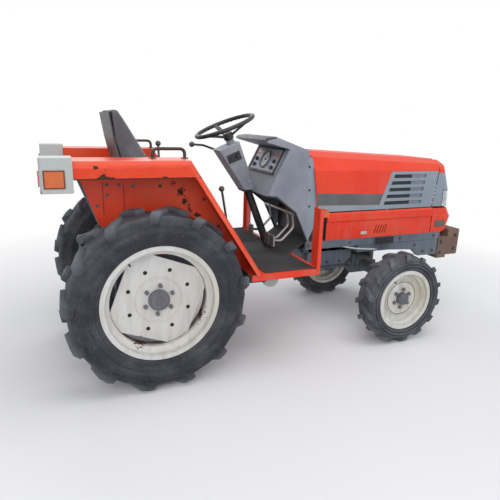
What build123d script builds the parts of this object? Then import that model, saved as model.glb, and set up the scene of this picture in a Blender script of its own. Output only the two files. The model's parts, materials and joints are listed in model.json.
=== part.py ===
"""Compact four-wheel-drive farm tractor with an open platform, in millimetres.

The model frame while building: the rear axle line is at X = 0, the tractor
looks along +X, its left side is +Y, and the ground is Z = 0. Just before the
pieces are written they all move together, so that the origin lies on the
ground under the middle of the whole tractor.
"""
import os
from math import atan2, cos, hypot, pi, radians, sin, sqrt, tan

from build123d import *

# Axles and tracks
WHEELBASE = 1558
REAR_TRACK = 952
FRONT_TRACK = 936

# Rear tyres and rims
REAR_TYRE_R = 472
REAR_TYRE_W = 211
REAR_SEAT_R = 279.4
REAR_FLANGE_H = 18
REAR_RIM_W = 160
REAR_WELL_R = 252
REAR_WELL_HALF_W = 30

# Front tyres and rims
FRONT_TYRE_R = 291
FRONT_TYRE_W = 164
FRONT_SEAT_R = 177.8
FRONT_FLANGE_H = 17
FRONT_RIM_W = 140
FRONT_WELL_R = 160
FRONT_WELL_HALF_W = 34

# Tread bars
REAR_LUG_H = 24
REAR_LUG_W = 46
REAR_LUG_LEAN = 70
REAR_LUGS = 13
FRONT_LUG_H = 16
FRONT_LUG_W = 32
FRONT_LUG_LEAN = 48
FRONT_LUGS = 14
LUG_MIDDLE = 8
SEAT_FIT = 0.02

RIM_T = 5
RIM_SLOPE_W = 12

# Rear disc and hub
DISC_T = 6
DISC_FLAT_R = 212
DISC_HOLE_R = 7
DISC_HOLE_CIRCLE_R = 162
DISC_HOLES = 8
WHEEL_TURN = 24
REAR_HUB_R = 98
REAR_HUB_T = 16
REAR_CAP_R = 54
REAR_CAP_OUT = 17
REAR_STUB_R = 30
REAR_STUB_L = 66
REAR_STUD_CIRCLE_R = 75
STUDS = 6
STUD_R = 8
NUT_R = 12
NUT_T = 11

# Front disc and hub
FRONT_DISC_OUT = 27
FRONT_STEP_R = 112
FRONT_STEP_W = 13
FRONT_HUB_R = 76
FRONT_HUB_T = 14
FRONT_CAP_R = 40
FRONT_CAP_OUT = 22
FRONT_STUB_R = 20
FRONT_STUB_L = 55
FRONT_STUD_CIRCLE_R = 60

# Fits and clearances
RUN_FIT = 0.05
HOLE_CLEAR = 0.5
HUB_GAP = 6
MOVE_GAP = 6
LOOSE_EYE = 0.6

# Rear axle and gear case
CASE_HALF_W = 135
CASE_REAR_X = -165
CASE_FRONT_X = 330
CASE_TOP_Z = 640
CASE_LOW_Z = 330
AXLE_TUBE_R = 62
AXLE_END_R = 82
AXLE_END_L = 50
AXLE_FLANGE_T = 18
LINK_EAR_T = 24
LINK_EAR_HALF_L = 30
MID_CASE_HALF_W = 110
MID_CASE_TOP_Z = 560
MID_CASE_LOW_Z = 425
MID_CASE_FRONT_X = WHEELBASE - 544

# Engine, front frame and front axle
ENGINE_FRONT_X = WHEELBASE - 160
ENGINE_HALF_W = 150
ENGINE_TOP_Z = 1000
SUMP_HALF_W = 115
SUMP_TOP_Z = 540
ENGINE_LUG_W = 50
ENGINE_LUG_ROWS = (MID_CASE_FRONT_X + 76, ENGINE_FRONT_X - 68)
RAIL_HALF_W = 236
RAIL_T = 18
RAIL_LOW_Z = 586
RAIL_TOP_Z = 636
RAIL_REAR_X = 980
RAIL_FRONT_X = WHEELBASE + 512
CROSS_L = 60
CROSS_ROWS = (WHEELBASE - 90, WHEELBASE + 30, WHEELBASE + 432)
EAR_T = 25
EAR_HALF_W = 62
EAR_LOW_DROP = 48
AXLE_Z = 390
AXLE_BEAM_R = 38
AXLE_CENTRE_R = 74
AXLE_CENTRE_HALF_L = 65
TRUNNION_R = 30
DRIVE_TUBE_R = 25
KINGPIN_Y = 350
KINGPIN_R = 20
KING_CASE_R = 44
KING_CASE_TOP_Z = 470
KNUCKLE_R = 50
KNUCKLE_DROP = 62
KNUCKLE_OUT_R = 62
STEER_ARM_L = 140
STEER_ARM_W = 34
STEER_ARM_T = 14
BALL_STUD_R = 7
TIE_EYE_R = 16
TIE_EYE_H = 24
TIE_ROD_R = 11

# Steering column and wheel
STEER_TILT = 22.5
STEER_HUB_X = 545
STEER_HUB_Z = 1248
STEER_RIM_R = 176
STEER_GRIP_R = 12
STEER_DISH = 80
STEER_HUB_R = 30
STEER_HUB_H = 34
STEER_SPOKE_R = 7
STEER_SHAFT_R = 9
STEER_SHAFT_L = 70
COLUMN_R = 24
COLUMN_GAP = 6
COVER_HALF_W = 62
COVER_DROP = 300

# Platform
FLOOR_Z = 560
FLOOR_T = 6
FLOOR_REAR_X = 440
FLOOR_FRONT_X = 898
FLOOR_HALF_W = 550
FLOOR_EDGE_DROP = 34
PILLAR_W = 95
PILLAR_T = 22
PILLAR_TOP_Z = 900

# Fenders
FENDER_IN_Y = 346
FENDER_OUT_Y = 560
FENDER_T = 4
FENDER_TOP_Z = 1167
FENDER_REAR_X = -372
FENDER_CORNER_X = 157
FENDER_FOOT_X = 545
FENDER_ROLL_R = 34
FENDER_LIP_TOP = 78
FENDER_LIP_FOOT = 30
FENDER_WALL_LOW_Z = 857
FENDER_WALL_REAR_X = -262
FENDER_ARCH_Z = 660
FENDER_ARCH_IN = 110
STAY_W = 46
STAY_T = 6
STAY_IN = 27
STAY_DROP = 104

# Lamps on the fenders
LAMP_REAR_X = -505
LAMP_IN_Y = 442
LAMP_OUT_Y = 572
LAMP_TOP_Z = 1182
LAMP_LOW_Z = 1034
LAMP_R = 14
LENS_T = 6
LENS_W = 74
LENS_H = 66
LENS_Z = 1092
HANDLE_R = 8
HANDLE_X0 = 0
HANDLE_X1 = 158
HANDLE_H = 46
HANDLE_Y = 410
HANDLE_BEND = 24

# Seat
SEAT_HALF_W = 215
SEAT_PAN_Z = 966
SEAT_CUSHION_T = 88
SEAT_FRONT_X = 300
SEAT_BACK = [(-58, SEAT_PAN_Z), (-118, SEAT_PAN_Z + 139), (-152, SEAT_PAN_Z + 276),
             (-172, SEAT_PAN_Z + 412)]
SEAT_SHELL_IN = 12
SEAT_ROUND = 14
SEAT_EAR_X = 285
SEAT_EAR_T = 12
SEAT_PIN_R = 8
SEAT_PIN_EAR_Y = 120
SEAT_BASE_HALF_W = 150
SEAT_BASE_TOP_Z = 940
SEAT_BASE_REAR_X = -70
SEAT_BASE_FRONT_X = 290

# Lift and hitch
LIFT_HOUSE_HALF_W = 118
LIFT_HOUSE_SET = 15
LIFT_HOUSE_TOP_Z = 752
LIFT_HOUSE_FRONT_X = 250
ROCK_X = -112
ROCK_Z = 700
ROCK_R = 22
ARM_Y = 165
ARM_T = 26
ARM_L = 215
ARM_SLOPE = 14
ARM_END_R = 24
LINK_X = 40
LINK_Z = 300
LINK_Y = 190
LINK_T = 24
LINK_L = 450
LINK_SLOPE = 4
LINK_EYE_R = 26
LINK_PIN_R = 14
LINK_MID = 0.78
BALL_BORE_R = 11.2
LIFT_ROD_R = 12
LIFT_PIN_R = 9
PTO_R = 17.4
PTO_JOURNAL_R = 15
PTO_L = 72
PTO_Z = 486
TOP_LINK_BORE_R = 9.7
TOP_LINK_X = -205
TOP_LINK_Z = 628
TOP_LINK_EAR_T = 14
TOP_LINK_GAP = 44
DRAWBAR_BORE_R = 13
DRAWBAR_X = -262
DRAWBAR_Z = 352
DRAWBAR_T = 18
DRAWBAR_HALF_W = 45

# Hood, cowl and nose
HOOD_HALF_W = 238
HOOD_T = 4
HOOD_REAR_TOP_X = 990
HOOD_REAR_LOW_X = 1052
HOOD_FRONT_TOP_X = 1995
HOOD_FRONT_LOW_X = 1960
HOOD_LOW_Z = 822
HOOD_CREASE_Z = 1075
HOOD_SHOULDER_IN = 30
HOOD_SHOULDER_Z = 1160
HOOD_TOP_REAR_Z = 1192
HOOD_TOP_FRONT_Z = 1142
LOUVRE_REAR_TOP_X = 1590
LOUVRE_REAR_LOW_X = 1506
LOUVRE_FRONT_IN = 14
LOUVRE_TOP_Z = 1066
LOUVRE_LOW_Z = 830
LOUVRE_T = 7
SLOTS = 5
SLOT_H = 24
SLOT_REAR_IN = 34
SLOT_FRONT_IN = 90
COWL_HALF_W = 226
COWL_T = 5
NOSE_GAP = 8
NOSE_T = 5
NOSE_CORNER_R = 55
PANEL_LOW_Z = 636
PANEL_TOP_Z = 814
PANEL_LEDGE_Z = 758
PANEL_LEDGE_OUT = 7
PANEL_T = 5
PANEL_REAR_X = 1121
PANEL_FRONT_X = 1972
BUMPER_FRONT_X = 2172
VENTS = 5
VENT_W = 9
VENT_PITCH = 21
VENT_X0 = 1490
VENT_H = 56
VENT_LEAN = 14

# Front weights
WEIGHTS = 5
WEIGHT_T = 84
WEIGHT_GAP = 14
WEIGHT_LOW_Z = 460
WEIGHT_TOP_Z = 648
WEIGHT_L = 106
BRACKET_L = 82
BRACKET_LOW_Z = 440
BRACKET_TOP_Z = 595
BRACKET_IN_Y = 150
TRANSFER_L = 130
TRANSFER_HALF_W = 46
HINGE_Y = 104
HINGE_EAR_T = 8
HINGE_EYE_R = 8
HINGE_PIN_R = 4
NOSE_FRONT = ((808, 2130), (932, 2124), (1075, 2070), (1134, 2040))
BUMPER_FRONT = ((636, 2120), (648, 2142), (745, 2172), (808, 2130))
GRILLE_HALF_W = 118
GRILLE_LOW_Z = 845
GRILLE_TOP_Z = 1040
GRILLE_BARS = 7
LAMP_FRONT_IN_Y = 132
LAMP_FRONT_LOW_Z = 826
LAMP_FRONT_TOP_Z = 928
LAMP_FRONT_REAR_X = 2052
SEAL_L = 16
PTO_SEAT_L = 48
SIDE_LAMP_L = 46
SIDE_LAMP_W = 62
SIDE_LAMP_H = 38
REST_GAP = 0.3
LIFT_EYE_T = 20
LIFT_LOOSE = 9
PANEL_HALF_W = 186
PANEL_EDGE = 8
PANEL_BOARD_T = 9
DIAL_R = 58
DIAL_WALL = 6
COVER_TOP_GAP = 22
COVER_REAR = 104
COVER_FRONT = 36
COVER_R = 9
LEVER_R = 7
LEVER_BEND = 22
GEAR_LEVER_H = 400
LIFT_LEVER_X = 180
LIFT_LEVER_H = 330
KNOB_R = 17
PEDAL_X = 905
PEDAL_Z = 812
PEDAL_SHAFT_R = 10
PEDAL_ARM_R = 8
PEDAL_BOSS_R = 15
PEDAL_PAD_X = 772
PEDAL_PAD_T = 5
PEDAL_PAD_HALF_W = 29
GUARD_X = 1515
GUARD_L = 135
GUARD_T = 14
GUARD_SLOTS = 3
FILTER_X = 674
FILTER_Z = 474
FILTER_R = 46
FILTER_L = 285
BOX_X = 486
BOX_Y = 335
BOX_L = 120
BOX_W = 140
BOX_H = 62


# Shapes that several pieces use
def block(x0, x1, y0, y1, z0, z1):
    """A box given by its low and high sides."""
    centre = Pos((x0 + x1) / 2, (y0 + y1) / 2, (z0 + z1) / 2)
    return centre * Box(abs(x1 - x0), abs(y1 - y0), abs(z1 - z0))


def rod(start, end, radius):
    """A round bar between two points."""
    start = Vector(*start)
    end = Vector(*end)
    along = end - start
    return extrude(Plane(origin=start, z_dir=along) * Circle(radius), along.length)


def cross_rod(x, z, radius, y0, y1):
    """A round bar along Y."""
    return rod((x, y0, z), (x, y1, z), radius)


def upright(x, y, radius, z0, z1):
    """A round bar along Z."""
    return rod((x, y, z0), (x, y, z1), radius)


def side_prism(points, y0, y1):
    """An outline of (x, z) points, given its thickness along Y."""
    outline = Polyline(*[(x, y0, z) for x, z in points], close=True)
    return extrude(make_face(outline), y1 - y0, dir=(0, 1, 0))


def end_prism(points, x0, x1):
    """An outline of (y, z) points, given its length along X."""
    outline = Polyline(*[(x0, y, z) for y, z in points], close=True)
    return extrude(make_face(outline), x1 - x0, dir=(1, 0, 0))


def pipe(points, bend, radius):
    """A round bar bent along a line of points."""
    path = FilletPolyline(*points, radius=bend)
    return sweep(Plane(origin=path @ 0, z_dir=path % 0) * Circle(radius), path=path)


def flip(shape):
    """The same shape on the other side of the tractor."""
    return mirror(shape, about=Plane.XZ)


def both(shape):
    """A shape and its twin on the other side, as separate solids."""
    return shape + flip(shape)


def around(count, circle_r, turn=0.0):
    """Places (x, z) evenly round a circle about the axle."""
    angles = [radians(turn + 360 * k / count) for k in range(count)]
    return [(circle_r * cos(a), circle_r * sin(a)) for a in angles]


def on_line(start, end, z):
    """The x at height z on a straight line between two (x, z) points."""
    share = (z - start[1]) / (end[1] - start[1])
    return start[0] + share * (end[0] - start[0])


# Wheels, built about their own axle with the outside towards +Y
def ring(points):
    """A closed outline of (outward, radius) points turned about the axle."""
    outline = Polyline(*[(0, w, r) for w, r in points], close=True)
    return revolve(make_face(outline), Axis.Y, 360)


def facet_ring(points, count):
    """The same outline carried round the axle in flat facets, outside the true circle."""
    step = 2 * pi / count
    grow = 1 / cos(step / 2)
    spokes = []
    for k in range(count):
        angle = pi / 2 + (k + 0.5) * step
        spokes.append([(r * grow * cos(angle), w, r * grow * sin(angle)) for w, r in points])
    faces = []
    for k, here in enumerate(spokes):
        there = spokes[(k + 1) % count]
        for i, start in enumerate(here):
            j = (i + 1) % len(here)
            outline = Polyline(start, here[j], there[j], there[i], close=True)
            faces.append(make_face(outline))
    return Solid(Shell(faces))


def lug(radius, width, lug_h, lug_w, lean):
    """One tread bar, from the middle of the tread over the shoulder, at the top of the tyre."""
    half_w = width / 2
    low_r = radius - 2 * lug_h
    reach = (lean + lug_w) / 2
    top_r = sqrt(radius ** 2 - reach ** 2)
    inner_y = LUG_MIDDLE
    plan = Polyline((reach, inner_y), (reach - lug_w, inner_y), (-reach, half_w),
                    (lug_w - reach, half_w), close=True)
    bar = extrude(Plane.XY.offset(low_r - 2 * lug_h) * make_face(plan), top_r - low_r + 2 * lug_h)
    side = end_prism([
        (inner_y, low_r), (inner_y + LUG_MIDDLE, top_r), (half_w - lug_h, top_r),
        (half_w, top_r - lug_h), (half_w, top_r - 2.4 * lug_h), (half_w - lug_h, low_r - lug_h),
    ], -radius, radius)
    return bar & side


def tyre(radius, width, seat_r, flange_h, rim_w, lug_h, lug_w, lean, lugs):
    """A faceted casing on the rim's seat with a row of tread bars on each side."""
    bead = rim_w / 2 - RIM_T
    lip_r = seat_r + flange_h
    casing_r = radius - lug_h
    half = [
        (bead, seat_r + SEAT_FIT),
        (bead, lip_r),
        (rim_w / 2 + 2, lip_r + RIM_T),
        (width / 2 - SEAT_FIT, (casing_r + lip_r) / 2),
        (width / 2 - lug_h / 2, casing_r - lug_h),
        (width / 3, casing_r - lug_h / 4),
    ]
    body = facet_ring(half + [(-w, r) for w, r in reversed(half)], 2 * lugs)
    bar = lug(radius, width, lug_h, lug_w, lean)
    pitch = 360 / lugs
    for k in range(lugs):
        body += Rot(0, k * pitch, 0) * bar
        body += Rot(0, (k + 0.5) * pitch, 0) * flip(bar)
    return body


# Places worked out from the sizes above
REAR_TYRE = tyre(REAR_TYRE_R, REAR_TYRE_W, REAR_SEAT_R, REAR_FLANGE_H, REAR_RIM_W,
                 REAR_LUG_H, REAR_LUG_W, REAR_LUG_LEAN, REAR_LUGS)
FRONT_TYRE = tyre(FRONT_TYRE_R, FRONT_TYRE_W, FRONT_SEAT_R, FRONT_FLANGE_H, FRONT_RIM_W,
                  FRONT_LUG_H, FRONT_LUG_W, FRONT_LUG_LEAN, FRONT_LUGS)
REAR_HUB_Z = -REAR_TYRE.bounding_box().min.Z
FRONT_HUB_Z = -FRONT_TYRE.bounding_box().min.Z
REAR_Y = REAR_TRACK / 2
FRONT_Y = FRONT_TRACK / 2
REAR_AXLE_END_Y = REAR_Y - REAR_HUB_T - HUB_GAP
FRONT_HUB_IN = FRONT_DISC_OUT - DISC_T - FRONT_HUB_T
FRONT_KNUCKLE_END_Y = FRONT_Y + FRONT_HUB_IN - HUB_GAP
FLOOR_TOP_Z = FLOOR_Z + FLOOR_T
FLOOR_WING_X = REAR_TYRE_R + 2 * MOVE_GAP
KNUCKLE_TOP_Z = FRONT_HUB_Z + KNUCKLE_R
KING_CASE_LOW_Z = KNUCKLE_TOP_Z + MOVE_GAP
ARM_LOW_Z = KING_CASE_TOP_Z + MOVE_GAP
ARM_TOP_Z = ARM_LOW_Z + STEER_ARM_T
TIE_LOW_Z = ARM_TOP_Z + 3
TIE_Z = TIE_LOW_Z + TIE_EYE_H / 2
TIE_X = WHEELBASE - STEER_ARM_L
STEER_UP = (-sin(radians(STEER_TILT)), 0, cos(radians(STEER_TILT)))
STEER_FORE = (cos(radians(STEER_TILT)), 0, sin(radians(STEER_TILT)))
ARM_END_X = ROCK_X - ARM_L * cos(radians(ARM_SLOPE))
ARM_END_Z = ROCK_Z - ARM_L * sin(radians(ARM_SLOPE))
LINK_END_X = LINK_X - LINK_L * cos(radians(LINK_SLOPE))
LINK_END_Z = LINK_Z - LINK_L * sin(radians(LINK_SLOPE))
LINK_MID_X = LINK_X - LINK_MID * LINK_L * cos(radians(LINK_SLOPE))
LINK_MID_Z = LINK_Z - LINK_MID * LINK_L * sin(radians(LINK_SLOPE))
HINGE_X = HOOD_FRONT_TOP_X + 15
HINGE_Z = HOOD_TOP_FRONT_Z - 25
SEAT_PIN_Z = SEAT_BASE_TOP_Z + SEAT_EAR_T + 1
LIFT_ROD_Y = LINK_Y + LINK_T / 2 + 14


def rim(seat_r, flange_h, rim_w, well_r, well_half_w):
    half_w = rim_w / 2
    slope_w = well_half_w + RIM_SLOPE_W
    outer = [
        (half_w - RIM_T, seat_r + flange_h),
        (half_w - RIM_T, seat_r),
        (slope_w, seat_r),
        (well_half_w, well_r),
    ]
    inner = [
        (half_w, seat_r + flange_h),
        (half_w, seat_r - RIM_T),
        (slope_w + RIM_T / 2, seat_r - RIM_T),
        (well_half_w + RIM_T / 2, well_r - RIM_T),
    ]
    far_outer = [(-w, r) for w, r in reversed(outer)]
    far_inner = [(-w, r) for w, r in inner]
    return ring(outer + far_outer + far_inner + list(reversed(inner)))


def hub(flange_r, flange_in, flange_out, cap_r, cap_out, stub_r, stub_l, stud_circle_r, nut_in):
    """A wheel's hub: flange, cap, studs with their nuts, and the stub shaft behind."""
    body = cross_rod(0, 0, flange_r, flange_in, flange_out)
    body += cross_rod(0, 0, cap_r, flange_out, cap_out)
    body += cross_rod(0, 0, stub_r, flange_in - stub_l, flange_in)
    for x, z in around(STUDS, stud_circle_r, WHEEL_TURN):
        body += cross_rod(x, z, STUD_R, flange_out, nut_in)
        nut = extrude(Plane.XZ * Pos(x, z) * RegularPolygon(NUT_R, 6), -NUT_T)
        body += Pos(0, nut_in, 0) * nut
    return body


def rear_rim():
    """The rear rim with its disc: four round corners on the well and four flats clear of it."""
    disc = cross_rod(0, 0, REAR_WELL_R - RIM_T / 2, 0, DISC_T)
    square = Rot(0, -WHEEL_TURN - 45, 0) * Box(2 * DISC_FLAT_R, 4 * DISC_T, 2 * DISC_FLAT_R)
    disc = disc & square
    disc -= cross_rod(0, 0, REAR_CAP_R + HOLE_CLEAR, 0, DISC_T)
    for x, z in around(DISC_HOLES, DISC_HOLE_CIRCLE_R, WHEEL_TURN):
        disc -= cross_rod(x, z, DISC_HOLE_R, 0, DISC_T)
    for x, z in around(STUDS, REAR_STUD_CIRCLE_R, WHEEL_TURN):
        disc -= cross_rod(x, z, STUD_R + HOLE_CLEAR, 0, DISC_T)
    shell = rim(REAR_SEAT_R, REAR_FLANGE_H, REAR_RIM_W, REAR_WELL_R, REAR_WELL_HALF_W)
    return shell + disc


def front_rim():
    """The front rim with its stepped disc, welded into one piece."""
    well_in_r = FRONT_WELL_R - RIM_T
    out = FRONT_DISC_OUT
    back = out - FRONT_STEP_W
    bore_r = FRONT_CAP_R + HOLE_CLEAR
    disc = ring([
        (out, bore_r), (out, FRONT_STEP_R), (back, FRONT_STEP_R + FRONT_STEP_W),
        (back, well_in_r + RIM_T / 2), (back - DISC_T, well_in_r + RIM_T / 2),
        (back - DISC_T, FRONT_STEP_R + FRONT_STEP_W - DISC_T / 2),
        (out - DISC_T, FRONT_STEP_R - DISC_T / 2), (out - DISC_T, bore_r),
    ])
    for x, z in around(STUDS, FRONT_STUD_CIRCLE_R, WHEEL_TURN):
        disc -= cross_rod(x, z, STUD_R + HOLE_CLEAR, out - DISC_T, out)
    shell = rim(FRONT_SEAT_R, FRONT_FLANGE_H, FRONT_RIM_W, FRONT_WELL_R, FRONT_WELL_HALF_W)
    return shell + disc


def add_wheels(nodes):
    """Rear wheels of tyre, rim, disc and hub, and front wheels of tyre, rim and hub."""
    rear = {
        "rear_tyre": REAR_TYRE,
        "rear_rim": rear_rim(),
        "rear_hub": hub(REAR_HUB_R, -REAR_HUB_T, 0, REAR_CAP_R, DISC_T + REAR_CAP_OUT,
                        REAR_STUB_R, REAR_STUB_L, REAR_STUD_CIRCLE_R, DISC_T),
    }
    front = {
        "front_tyre": FRONT_TYRE,
        "front_rim": front_rim(),
        "front_hub": hub(FRONT_HUB_R, FRONT_HUB_IN, FRONT_DISC_OUT - DISC_T, FRONT_CAP_R,
                         FRONT_DISC_OUT + FRONT_CAP_OUT, FRONT_STUB_R, FRONT_STUB_L,
                         FRONT_STUD_CIRCLE_R, FRONT_DISC_OUT),
    }
    for group, place in ((rear, Pos(0, REAR_Y, REAR_HUB_Z)),
                         (front, Pos(WHEELBASE, FRONT_Y, FRONT_HUB_Z))):
        for name, shape in group.items():
            left = place * shape
            nodes[name + "_left"] = left
            nodes[name + "_right"] = flip(left)


# Gear cases and engine
def transmission_case():
    """Gear cases from the rear axle to the clutch with the lift housing on top."""
    case = block(CASE_REAR_X, CASE_FRONT_X, -CASE_HALF_W, CASE_HALF_W, CASE_LOW_Z, CASE_TOP_Z)
    case += block(CASE_FRONT_X, MID_CASE_FRONT_X, -MID_CASE_HALF_W, MID_CASE_HALF_W,
                  MID_CASE_LOW_Z, MID_CASE_TOP_Z)
    case += block(MID_CASE_FRONT_X - TRANSFER_L, MID_CASE_FRONT_X, -TRANSFER_HALF_W,
                  TRANSFER_HALF_W, AXLE_Z - DRIVE_TUBE_R - RIM_T, MID_CASE_LOW_Z)
    case += block(CASE_REAR_X + LIFT_HOUSE_SET, LIFT_HOUSE_FRONT_X, -LIFT_HOUSE_HALF_W,
                  LIFT_HOUSE_HALF_W, CASE_TOP_Z, LIFT_HOUSE_TOP_Z)
    case -= rod((CASE_REAR_X + PTO_SEAT_L, 0, PTO_Z), (CASE_REAR_X, 0, PTO_Z),
                PTO_JOURNAL_R + RUN_FIT)
    return case - cross_rod(ROCK_X, ROCK_Z, ROCK_R + RUN_FIT, -LIFT_HOUSE_HALF_W,
                            LIFT_HOUSE_HALF_W)


def axle_housings():
    """The rear axle tubes with their end bearings, one on each side of the gear case."""
    tube = cross_rod(0, REAR_HUB_Z, AXLE_TUBE_R, CASE_HALF_W, REAR_AXLE_END_Y)
    tube += cross_rod(0, REAR_HUB_Z, AXLE_END_R, REAR_AXLE_END_Y - AXLE_END_L, REAR_AXLE_END_Y)
    tube += cross_rod(0, REAR_HUB_Z, AXLE_END_R, CASE_HALF_W, CASE_HALF_W + AXLE_FLANGE_T)
    bore_end = REAR_AXLE_END_Y + HUB_GAP - REAR_STUB_L - MOVE_GAP
    tube -= cross_rod(0, REAR_HUB_Z, REAR_STUB_R + RUN_FIT, bore_end, REAR_AXLE_END_Y)
    return both(tube)


def engine_block():
    """The closed engine as one plain block with its sump and mounting lugs."""
    block_low = SUMP_TOP_Z
    engine = block(MID_CASE_FRONT_X, ENGINE_FRONT_X, -ENGINE_HALF_W, ENGINE_HALF_W,
                   block_low, ENGINE_TOP_Z)
    engine += block(MID_CASE_FRONT_X, ENGINE_FRONT_X, -SUMP_HALF_W, SUMP_HALF_W,
                    MID_CASE_LOW_Z, block_low)
    for x in ENGINE_LUG_ROWS:
        lug_y = RAIL_HALF_W - RAIL_T
        engine += block(x, x + ENGINE_LUG_W, -lug_y, lug_y, RAIL_LOW_Z, RAIL_TOP_Z)
    return engine


def front_frame():
    """Two rails with cross members, the ears of the front axle and the exhaust guard."""
    in_y = RAIL_HALF_W - RAIL_T
    frame = both(block(RAIL_REAR_X, RAIL_FRONT_X, in_y, RAIL_HALF_W, RAIL_LOW_Z, RAIL_TOP_Z))
    for x in CROSS_ROWS:
        frame += block(x, x + CROSS_L, -in_y, in_y, RAIL_LOW_Z, RAIL_TOP_Z)
    for x in (WHEELBASE - AXLE_CENTRE_HALF_L - EAR_T, WHEELBASE + AXLE_CENTRE_HALF_L):
        ear = block(x, x + EAR_T, -EAR_HALF_W, EAR_HALF_W, AXLE_Z - EAR_LOW_DROP, RAIL_LOW_Z)
        ear -= rod((x, 0, AXLE_Z), (x + EAR_T, 0, AXLE_Z), TRUNNION_R)
        frame += ear
    return frame + exhaust_guard()


def front_axle():
    """The beam with its gear case and trunnions, its upright end cases and the drive tube."""
    rear_x = WHEELBASE - AXLE_CENTRE_HALF_L
    front_x = WHEELBASE + AXLE_CENTRE_HALF_L
    axle = rod((rear_x, 0, AXLE_Z), (front_x, 0, AXLE_Z), AXLE_CENTRE_R)
    axle += rod((rear_x - EAR_T, 0, AXLE_Z), (front_x + EAR_T, 0, AXLE_Z), TRUNNION_R)
    axle += rod((MID_CASE_FRONT_X, 0, AXLE_Z), (rear_x - EAR_T, 0, AXLE_Z), DRIVE_TUBE_R)
    axle += cross_rod(WHEELBASE, AXLE_Z, AXLE_BEAM_R, -KINGPIN_Y, KINGPIN_Y)
    case = upright(WHEELBASE, KINGPIN_Y, KING_CASE_R, KING_CASE_LOW_Z, KING_CASE_TOP_Z)
    axle += both(case)
    axle -= both(upright(WHEELBASE, KINGPIN_Y, KINGPIN_R + RUN_FIT,
                         KING_CASE_LOW_Z, KING_CASE_TOP_Z))
    return axle


def knuckle_left():
    """The steered gear case: kingpin, hub bearing, and the arm with its ball stud on top."""
    x = WHEELBASE
    y = KINGPIN_Y
    knuckle = upright(x, y, KNUCKLE_R, FRONT_HUB_Z - KNUCKLE_DROP, KNUCKLE_TOP_Z)
    knuckle += cross_rod(x, FRONT_HUB_Z, KNUCKLE_R, y, FRONT_KNUCKLE_END_Y)
    flare_y = y + KNUCKLE_R + MOVE_GAP
    knuckle += cross_rod(x, FRONT_HUB_Z, KNUCKLE_OUT_R, flare_y, FRONT_KNUCKLE_END_Y)
    bore_y = FRONT_KNUCKLE_END_Y + HUB_GAP - FRONT_STUB_L - MOVE_GAP
    knuckle -= cross_rod(x, FRONT_HUB_Z, FRONT_STUB_R + RUN_FIT, bore_y, FRONT_KNUCKLE_END_Y)
    knuckle += upright(x, y, KINGPIN_R, KNUCKLE_TOP_Z, ARM_TOP_Z)
    half_w = STEER_ARM_W / 2
    knuckle += block(TIE_X, x, y - half_w, y + half_w, ARM_LOW_Z, ARM_TOP_Z)
    knuckle += upright(TIE_X, y, half_w, ARM_LOW_Z, ARM_TOP_Z)
    knuckle += upright(x, y, half_w + 8, ARM_LOW_Z, ARM_TOP_Z)
    knuckle += upright(TIE_X, y, BALL_STUD_R, ARM_TOP_Z, TIE_LOW_Z + TIE_EYE_H + 3)
    return knuckle


def tie_rod():
    """The bar between both steering arms, snug on the left stud and loose on the right one."""
    bar = cross_rod(TIE_X, TIE_Z, TIE_ROD_R, -KINGPIN_Y, KINGPIN_Y)
    bar += both(upright(TIE_X, KINGPIN_Y, TIE_EYE_R, TIE_LOW_Z, TIE_LOW_Z + TIE_EYE_H))
    bar -= upright(TIE_X, KINGPIN_Y, BALL_STUD_R + RUN_FIT, TIE_LOW_Z, TIE_LOW_Z + TIE_EYE_H)
    bar -= upright(TIE_X, -KINGPIN_Y, BALL_STUD_R + LOOSE_EYE, TIE_LOW_Z, TIE_LOW_Z + TIE_EYE_H)
    return bar


# Platform
def floor_plate():
    """The platform: a plate over the gear case, wider ahead of the rear tyres, with
    edge flanges and an upright angle plate at each front corner."""
    plate = block(FLOOR_REAR_X, FLOOR_FRONT_X, -FENDER_IN_Y, FENDER_IN_Y, FLOOR_Z, FLOOR_TOP_Z)
    low_z = FLOOR_TOP_Z - FLOOR_EDGE_DROP
    wing = block(FLOOR_WING_X, FLOOR_FRONT_X, FENDER_IN_Y, FLOOR_HALF_W, FLOOR_Z, FLOOR_TOP_Z)
    wing += block(FLOOR_WING_X, FLOOR_FRONT_X, FLOOR_HALF_W - FLOOR_T, FLOOR_HALF_W,
                  low_z, FLOOR_Z)
    wing += block(FLOOR_FRONT_X - FLOOR_T, FLOOR_FRONT_X, MID_CASE_HALF_W + MOVE_GAP,
                  FLOOR_HALF_W, low_z, FLOOR_Z)
    wing += block(FLOOR_FRONT_X - FLOOR_T, FLOOR_FRONT_X, FLOOR_HALF_W - PILLAR_W,
                  FLOOR_HALF_W, FLOOR_TOP_Z, PILLAR_TOP_Z)
    wing += block(FLOOR_FRONT_X - PILLAR_T, FLOOR_FRONT_X, FLOOR_HALF_W - FLOOR_T,
                  FLOOR_HALF_W, FLOOR_TOP_Z, PILLAR_TOP_Z)
    return plate + wing + flip(wing)


# Fenders with what they carry
FENDER_LEAN = atan2(FENDER_TOP_Z - FLOOR_TOP_Z, FENDER_FOOT_X - FENDER_CORNER_X)


def fender_edge(depth_top, depth_front):
    """Points along the fender's top and slanted front, moved inwards by two depths."""
    low_z = FLOOR_TOP_Z
    foot_x = FENDER_FOOT_X - depth_front / sin(FENDER_LEAN)
    top_z = FENDER_TOP_Z - depth_top
    corner_x = foot_x - (top_z - low_z) / tan(FENDER_LEAN)
    return [(FENDER_REAR_X, top_z), (corner_x, top_z), (foot_x, low_z)]


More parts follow.
